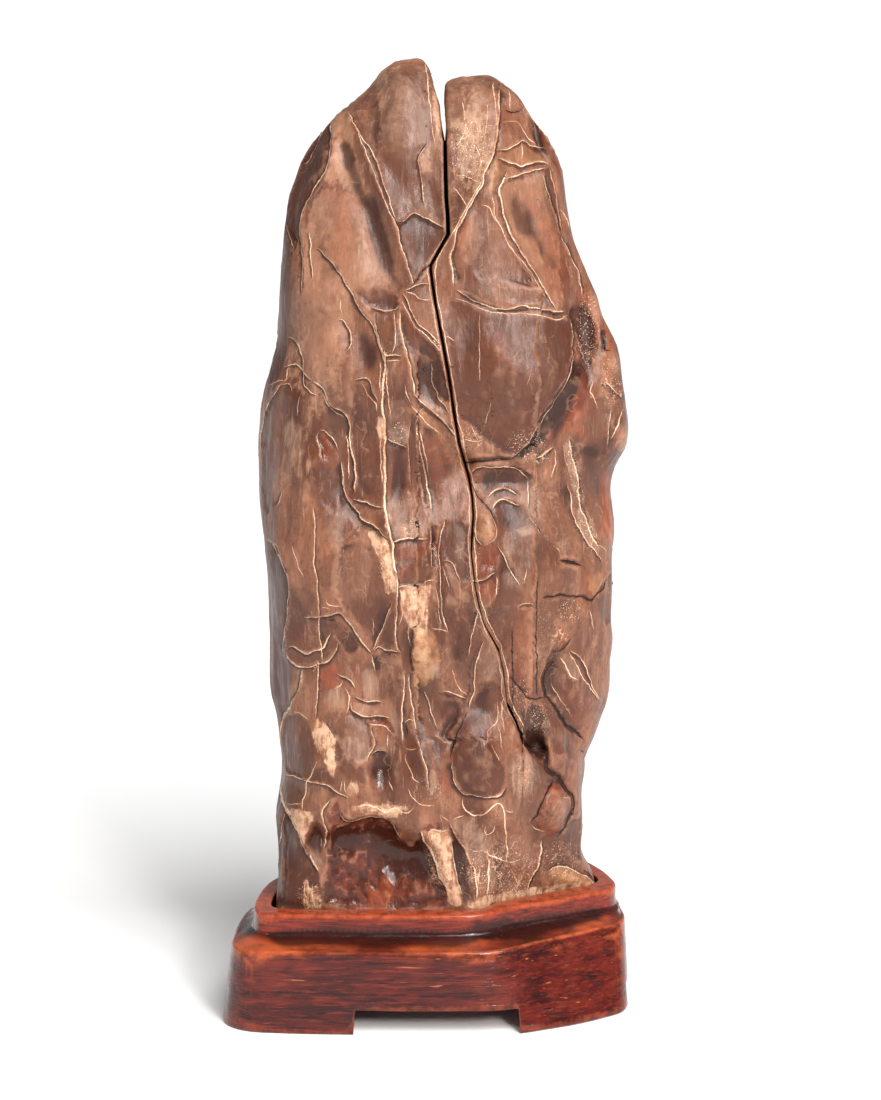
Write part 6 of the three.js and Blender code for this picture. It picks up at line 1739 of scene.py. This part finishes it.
clay = mix(tree, broken, tone(128, 56, 32), tone(160, 84, 54))
buff = mix(tree, broken, tone(170, 116, 78), tone(206, 158, 116))
# Pale grey of the bloom, which on some ovals and plates is painted sheen.
dust_and_sheen = mix(tree, ramp(tree, strands, 0.3, 0.7), tone(128, 96, 80), tone(206, 178, 160))
wet = mix(tree, ramp(tree, mean(tree, blotch, broken), 0.36, 0.62), tone(52, 19, 15), tone(116, 54, 40))
fibrous = ramp(tree, mean(tree, strands, broken), 0.4, 0.58)
crust_cream = mix(tree, fibrous, tone(158, 106, 76), tone(232, 198, 168))
colour = patched(tree, colour, plum, tone(104, 74, 60), blotch, 0.6)
colour = patched(tree, colour, rust, clay, broken, 0.4)
colour = patched(tree, colour, tan, buff, broken, 0.35)
colour = patched(tree, colour, bloom, dust_and_sheen, strands, 0.35)
colour = patched(tree, colour, maroon, wet, blotch, 0.5)
colour = patched(tree, colour, cream, crust_cream, strands, 0.6)
print("six kinds of patch")

# %% [markdown]
# ## Plates in the stone's material
# A plate is laid on in its own tone where the stored depth says that a point lies inside it. Smooth plates
# have a crisp border, and the mineral ones a torn and streaky one. Streaks along the stone cross them all.

# %% Plates in the stone's material
# The "shade" tone is painted shade. "deep" is a darker brown, and on the flank turned from the light and on the
# big panel below the ledge it is painted shade.
finish = {
    "plum": tone(98, 68, 56), "deep": tone(70, 34, 22), "rust": clay, "tan": buff, "pale": tone(184, 142, 118),
    "bloom": dust_and_sheen, "maroon": wet, "shade": tone(38, 19, 14), "cream": crust_cream,
}
crisp = ("plum", "deep", "maroon", "shade")
share_of = {"plum": 0.75, "deep": 0.85, "rust": 0.6, "tan": 0.55, "pale": 0.6, "bloom": 0.45, "maroon": 0.85,
            "shade": 0.95, "cream": 0.9}
torn_edge = mean(tree, cloud(tree, even, 320, 4, 0.7), cloud(tree, long, 130, 3, 0.6, 0.5))
neat, torn = swing(tree, torn_edge, 0.35), swing(tree, torn_edge, 1.5)
streaky = ramp(tree, mean(tree, strands, broken), 0.38, 0.56, 0.3, 1.0)
laid = {}
for number, names in enumerate(in_fours(PLATE_TONES)):
    borders, strengths = attribute(tree, f"plate_border_{number}"), attribute(tree, f"plate_strength_{number}")
    for name, depth, strong in zip(names, borders, strengths):
        inside = ramp(tree, math_node(tree, "ADD", depth, neat if name in crisp else torn), 0.42, 0.6)
        if name not in crisp:
            inside = times(tree, inside, streaky)
        inside = times(tree, inside, strong, clamp=True)
        laid[name] = times(tree, inside, share_of[name])
        colour = mix(tree, laid[name], colour, finish[name])
maroon = math_node(tree, "MAXIMUM", maroon, laid["maroon"])
calm = math_node(tree, "SUBTRACT", 1.0, math_node(tree, "MAXIMUM", maroon, laid["deep"]), clamp=True)
colour = mix(tree, ramp(tree, strands, 0.38, 0.6, 0.0, 0.32), colour, tone(74, 42, 30))
streaks = times(tree, ramp(tree, strands, 0.58, 0.7, 0.0, 0.34), calm)
colour = mix(tree, streaks, colour, tone(180, 136, 112))
# The dark ovals are laid on here as painted shade.
colour = mix(tree, times(tree, painted_shade, 0.6, clamp=True), colour, tone(56, 31, 23))
print(len(laid), "tones of plates")

# %% [markdown]
# ## Hollows and crests in the stone's material
# The stored relief says how high each point stands: broad hollows and fine creases are darkened as painted
# shade, and fine crests are a little paler, partly as handled wear and partly as a painted highlight.

# %% Hollows and crests in the stone's material
# Painted shade in the broad hollows.
hollow_shade = ramp(tree, broad, -0.12, -1.2, 0, 0.75)
colour = mix(tree, hollow_shade, colour, tone(50, 25, 18))
# Paler crests: partly handled wear, partly a painted highlight.
crest = times(tree, ramp(tree, fine, 0.08, 0.3), ramp(tree, broken, 0.3, 0.6))
colour = mix(tree, times(tree, crest, 0.18), colour, tone(212, 168, 142))
# Painted shade in the fine creases.
crease_shade = ramp(tree, fine, -0.08, -0.35)
colour = mix(tree, times(tree, crease_shade, 0.5), colour, tone(52, 27, 20))
print("hollows and crests are shaded")

# %% [markdown]
# ## Veins, scratches and cracks in the stone's material
# The pale veins follow the raised edges, with a painted shadow band on the low side. Between them run hair
# lines: the borders of a Voronoi pattern, which look like a net of fine scratches where they are broken off by a
# noise. The black cracks come last, because they cut through everything.

# %% Veins, scratches and cracks in the stone's material
WARMER = (1.04, 0.95, 0.87, 1.0)
wander = swing(tree, broken, 1.4)
vein, painted_edge_shadow = lines_mask(tree, "vein", wander, 0.25)
# Painted shadow: a dark band beside each raised edge, on its low side.
colour = mix(tree, times(tree, painted_edge_shadow, 0.75), colour, tone(42, 21, 15))
shown = times(tree, vein, ramp(tree, blotch, 0.34, 0.54, 0.5, 1.0))
mottled = ramp(tree, mean(tree, speckle, blotch), 0.4, 0.62)
vein_tone = mix(tree, mottled, tone(190, 142, 112), tone(250, 224, 200))
colour = mix(tree, times(tree, shown, 0.95), colour, vein_tone)

warped = put(tree, "ShaderNodeTexNoise", Vector=even, Scale=120.0, Detail=2.0)
bent = put(tree, "ShaderNodeMix", {"data_type": "VECTOR"})
for number, value in ((0, 0.012), (4, long), (5, warped.outputs["Color"])):
    feed(tree, bent.inputs[number], value)
to_edge = {"feature": "DISTANCE_TO_EDGE"}
net = put(tree, "ShaderNodeTexVoronoi", to_edge, Vector=bent.outputs[1], Scale=85.0)
hair = times(tree, ramp(tree, net.outputs["Distance"], 0.035, 0.012), ramp(tree, blotch, 0.5, 0.62))
colour = mix(tree, times(tree, hair, 0.16), colour, tone(200, 156, 128))

small_net = put(tree, "ShaderNodeTexVoronoi", to_edge, Vector=bent.outputs[1], Scale=125.0)
in_crust = times(tree, ramp(tree, rough, 0.4, 0.85), ramp(tree, blotch, 0.44, 0.6))
scribble = times(tree, ramp(tree, small_net.outputs["Distance"], 0.035, 0.01), in_crust)
colour = mix(tree, times(tree, scribble, 0.45), colour, tone(234, 200, 174))

flecks = times(tree, ramp(tree, speckle, 0.6, 0.7), ramp(tree, rough, 0.15, 0.8))
colour = mix(tree, times(tree, flecks, 0.75), colour, tone(240, 218, 196))
crack, _ = lines_mask(tree, "crack", times(tree, wander, 1.3), 0.25)
colour = mix(tree, times(tree, crack, 0.95), colour, tone(30, 14, 10))
colour = mix(tree, 1.0, colour, WARMER, "MULTIPLY")
tree.links.new(colour, shader.inputs["Base Color"])
print("base colour done with", len(tree.nodes), "nodes")

# %% [markdown]
# ## Polish and fine bumps of the stone
# Roughness is the inverse of polish: low on the waxed plates and in the wet hollow, higher on crust and bloom.
# What is too fine for the mesh, such as fibres and grains, is a bump: it changes only the shading.

# %% Polish and fine bumps of the stone
STONE_BUMP = 0.0007
polish = ramp(tree, mean(tree, blotch, strands), 0.35, 0.65, 0.27, 0.5)
polish = add_scaled(tree, math_node(tree, "MAXIMUM", rough, bloom), 0.2, polish)
polish = add_scaled(tree, maroon, -0.2, polish)
polish = add_scaled(tree, shown, 0.08, polish)
tree.links.new(math_node(tree, "MAXIMUM", polish, 0.16), shader.inputs["Roughness"])
shader.inputs["Specular IOR Level"].default_value = 0.34

height = times(tree, strands, 0.35)
height = add_scaled(tree, broken, 0.35, height)
height = add_scaled(tree, cloud(tree, long, 120, 2, 0.5, 0.5), 1.3, height)
height = add_scaled(tree, shown, 0.45, height)
height = add_scaled(tree, crack, -0.9, height)
grains = times(tree, cloud(tree, even, 620, 3, 0.6), rough)
height = add_scaled(tree, grains, 0.9, height)
bump = put(tree, "ShaderNodeBump", Height=height, Strength=0.75, Distance=STONE_BUMP)
tree.links.new(bump.outputs["Normal"], shader.inputs["Normal"])
dress(stone, stone_look)

# %% [markdown]
# ## The stand's material
# Lacquered rosewood: deep maroon with darker figure running along the block, short dark pores and pale dashes.
# Noise stretched along the block gives all of them, because Object coordinates run through the wood as its
# real grain does, round every edge and into the arches.

# %% Grain of the stand's wood
wood_look, tree, shader = new_material("lacquered_rosewood")
even, figure, dash = stretched(tree, 1, 1, 1), stretched(tree, 0.12, 0.5, 1), stretched(tree, 0.085, 0.35, 1)
edge, broad, *_ = attribute(tree, "relief")
grain = cloud(tree, figure, 190, 5, 0.6, 0.6)
fine_grain = cloud(tree, dash, 900, 3, 0.6)
pores = cloud(tree, dash, 620, 2, 0.5, 0.2)
cloudy = cloud(tree, stretched(tree, 0.6, 1, 1), 34, 4, 0.6)
scuff = cloud(tree, even, 190, 4, 0.6)

colour = mix(tree, ramp(tree, grain, 0.3, 0.7), tone(40, 9, 9), tone(90, 24, 18))
colour = mix(tree, ramp(tree, cloudy, 0.5, 0.66, 0, 0.6), colour, tone(108, 36, 24))
colour = mix(tree, ramp(tree, cloudy, 0.48, 0.34, 0, 0.65), colour, tone(36, 9, 11))
colour = mix(tree, ramp(tree, fine_grain, 0.5, 0.7, 0, 0.5), colour, tone(128, 46, 30))
colour = mix(tree, ramp(tree, fine_grain, 0.46, 0.3, 0, 0.5), colour, tone(34, 9, 9))
colour = mix(tree, ramp(tree, pores, 0.36, 0.3, 0, 0.8), colour, tone(26, 8, 8))
colour = mix(tree, ramp(tree, pores, 0.7, 0.76, 0, 0.6), colour, tone(196, 112, 66))
print("wood grain and pores")

# %% [markdown]
# ## Rubbed edges, painted highlights and painted shade on the wood
# The lacquer is rubbed thin on the edges, where it turns orange, and this orange grows stronger higher up as a
# painted highlight. The rim's top is orange from rubbing and from painted light, and the shoulder gets a painted
# orange highlight. The height over the floor tells these parts from each other. The corners under the rim are
# darkened as painted shade.

# %% Rubbed edges, painted highlights and painted shade on the wood
# Rubbed orange lacquer on the edges, made stronger higher up as a painted highlight.
rubbed_and_lit = times(tree, ramp(tree, edge, 0.1, 0.42), ramp(tree, scuff, 0.35, 0.62, 0.15, 1.0))
level = put(tree, "ShaderNodeSeparateXYZ", Vector=even).outputs["Z"]
rubbed_and_lit = times(tree, rubbed_and_lit, ramp(tree, level, 0.015, 0.04, 0.25, 0.65))
colour = mix(tree, rubbed_and_lit, colour, tone(180, 86, 46))
grained = ramp(tree, fine_grain, 0.35, 0.6, 0.15, 0.55)
rim_face = times(tree, ramp(tree, level, 0.047, 0.050), grained)
colour = mix(tree, rim_face, colour, tone(140, 46, 30))
# The rim's top: orange from rubbing, and lighter as painted light from above.
rim_top_rubbed_and_lit = times(tree, ramp(tree, level, 0.0555, 0.0572), ramp(tree, scuff, 0.35, 0.65, 0.25, 0.8))
colour = mix(tree, rim_top_rubbed_and_lit, colour, tone(172, 76, 44))
# Painted orange highlight along the shoulder.
shoulder = times(tree, ramp(tree, level, 0.0405, 0.043), ramp(tree, level, 0.047, 0.0445))
shoulder_highlight = times(tree, shoulder, ramp(tree, cloudy, 0.45, 0.7, 0.1, 0.75))
colour = mix(tree, shoulder_highlight, colour, tone(186, 88, 48))
# Painted shade in the concave corners under the rim.
corner_shade = ramp(tree, broad, -0.25, -1.4, 0, 0.85)
colour = mix(tree, corner_shade, colour, tone(30, 10, 8))
tree.links.new(colour, shader.inputs["Base Color"])
print("wood colour done with", len(tree.nodes), "nodes")

# %% [markdown]
# ## Lacquer of the wood
# Old lacquer is glossy but no mirror. A thin clear coat over a fairly smooth base gives its two highlights, and
# the pores sink in as a fine bump.

# %% Lacquer and fine bumps of the wood
WOOD_BUMP = 0.0004
tree.links.new(ramp(tree, scuff, 0.3, 0.7, 0.14, 0.28), shader.inputs["Roughness"])
shader.inputs["Specular IOR Level"].default_value = 0.25
shader.inputs["Coat Weight"].default_value = 0.2
shader.inputs["Coat Roughness"].default_value = 0.12
height = times(tree, ramp(tree, pores, 0.4, 0.28), -0.6)
height = add_scaled(tree, fine_grain, 0.25, height)
height = add_scaled(tree, scuff, 0.35, height)
bump = put(tree, "ShaderNodeBump", Height=height, Strength=0.5, Distance=WOOD_BUMP)
tree.links.new(bump.outputs["Normal"], shader.inputs["Normal"])
dress(stand, wood_look)

# %% [markdown]
# ## Floor and surround
# A product picture on white: a plain pale floor that runs off into a white surround. The surround is white where
# the camera looks at it, but dim as a light, so the picture stays white and the stone's hollows stay dark.

# %% Floor and surround
SKY, WHITE = 0.34, 1.06
FLOOR_RADIUS, FLOOR_TONE = 60.0, 0.98
floor_bm = bmesh.new()
bmesh.ops.create_circle(floor_bm, cap_ends=True, radius=FLOOR_RADIUS, segments=64)
floor = as_object(floor_bm, "floor")
floor_look, _, floor_shader = new_material("pale_floor")
floor_shader.inputs["Base Color"].default_value = (FLOOR_TONE, FLOOR_TONE, FLOOR_TONE, 1)
floor_shader.inputs["Roughness"].default_value = 0.9
floor.data.materials.append(floor_look)

world = bpy.data.worlds.new("white_surround")
world.use_nodes = True
tree = world.node_tree
looked_at = tree.nodes.new("ShaderNodeLightPath").outputs["Is Camera Ray"]
background = tree.nodes["Background"]
background.inputs["Color"].default_value = (1, 1, 1, 1)
tree.links.new(add_scaled(tree, looked_at, WHITE - SKY, SKY), background.inputs["Strength"])
bpy.context.scene.world = world
print("floor and surround are set")

# %% [markdown]
# ## Lights
# A soft light stands in front at the right and a weak one at the left. A very wide sun from the front right
# throws the soft shadow to the left. A narrow sun would give the shadow a hard edge.

# %% Lights
WARM_WHITE = (1.0, 0.95, 0.88)
AIM = (0, 0, 0.26)


def soft_light(name, place, power, size):
    """A square light that looks at the middle of the stone."""
    data = bpy.data.lights.new(name, "AREA")
    data.energy = power
    data.size = size
    data.color = WARM_WHITE
    light = bpy.data.objects.new(name, data)
    light.location = place
    aim = Vector(AIM) - Vector(place)
    light.rotation_euler = aim.to_track_quat("-Z", "Y").to_euler()
    bpy.context.scene.collection.objects.link(light)


soft_light("key", (1.3, -2.9, 1.7), 64, 0.55)
soft_light("fill", (-1.5, -1.5, 1.7), 6, 0.5)
sun_data = bpy.data.lights.new("daylight", "SUN")
sun_data.energy = 3.35
sun_data.angle = math.radians(40)
sun = bpy.data.objects.new("daylight", sun_data)
sun.rotation_euler = (math.radians(42), 0, math.radians(34))
bpy.context.scene.collection.objects.link(sun)
bpy.context.scene.view_settings.view_transform = "Standard"
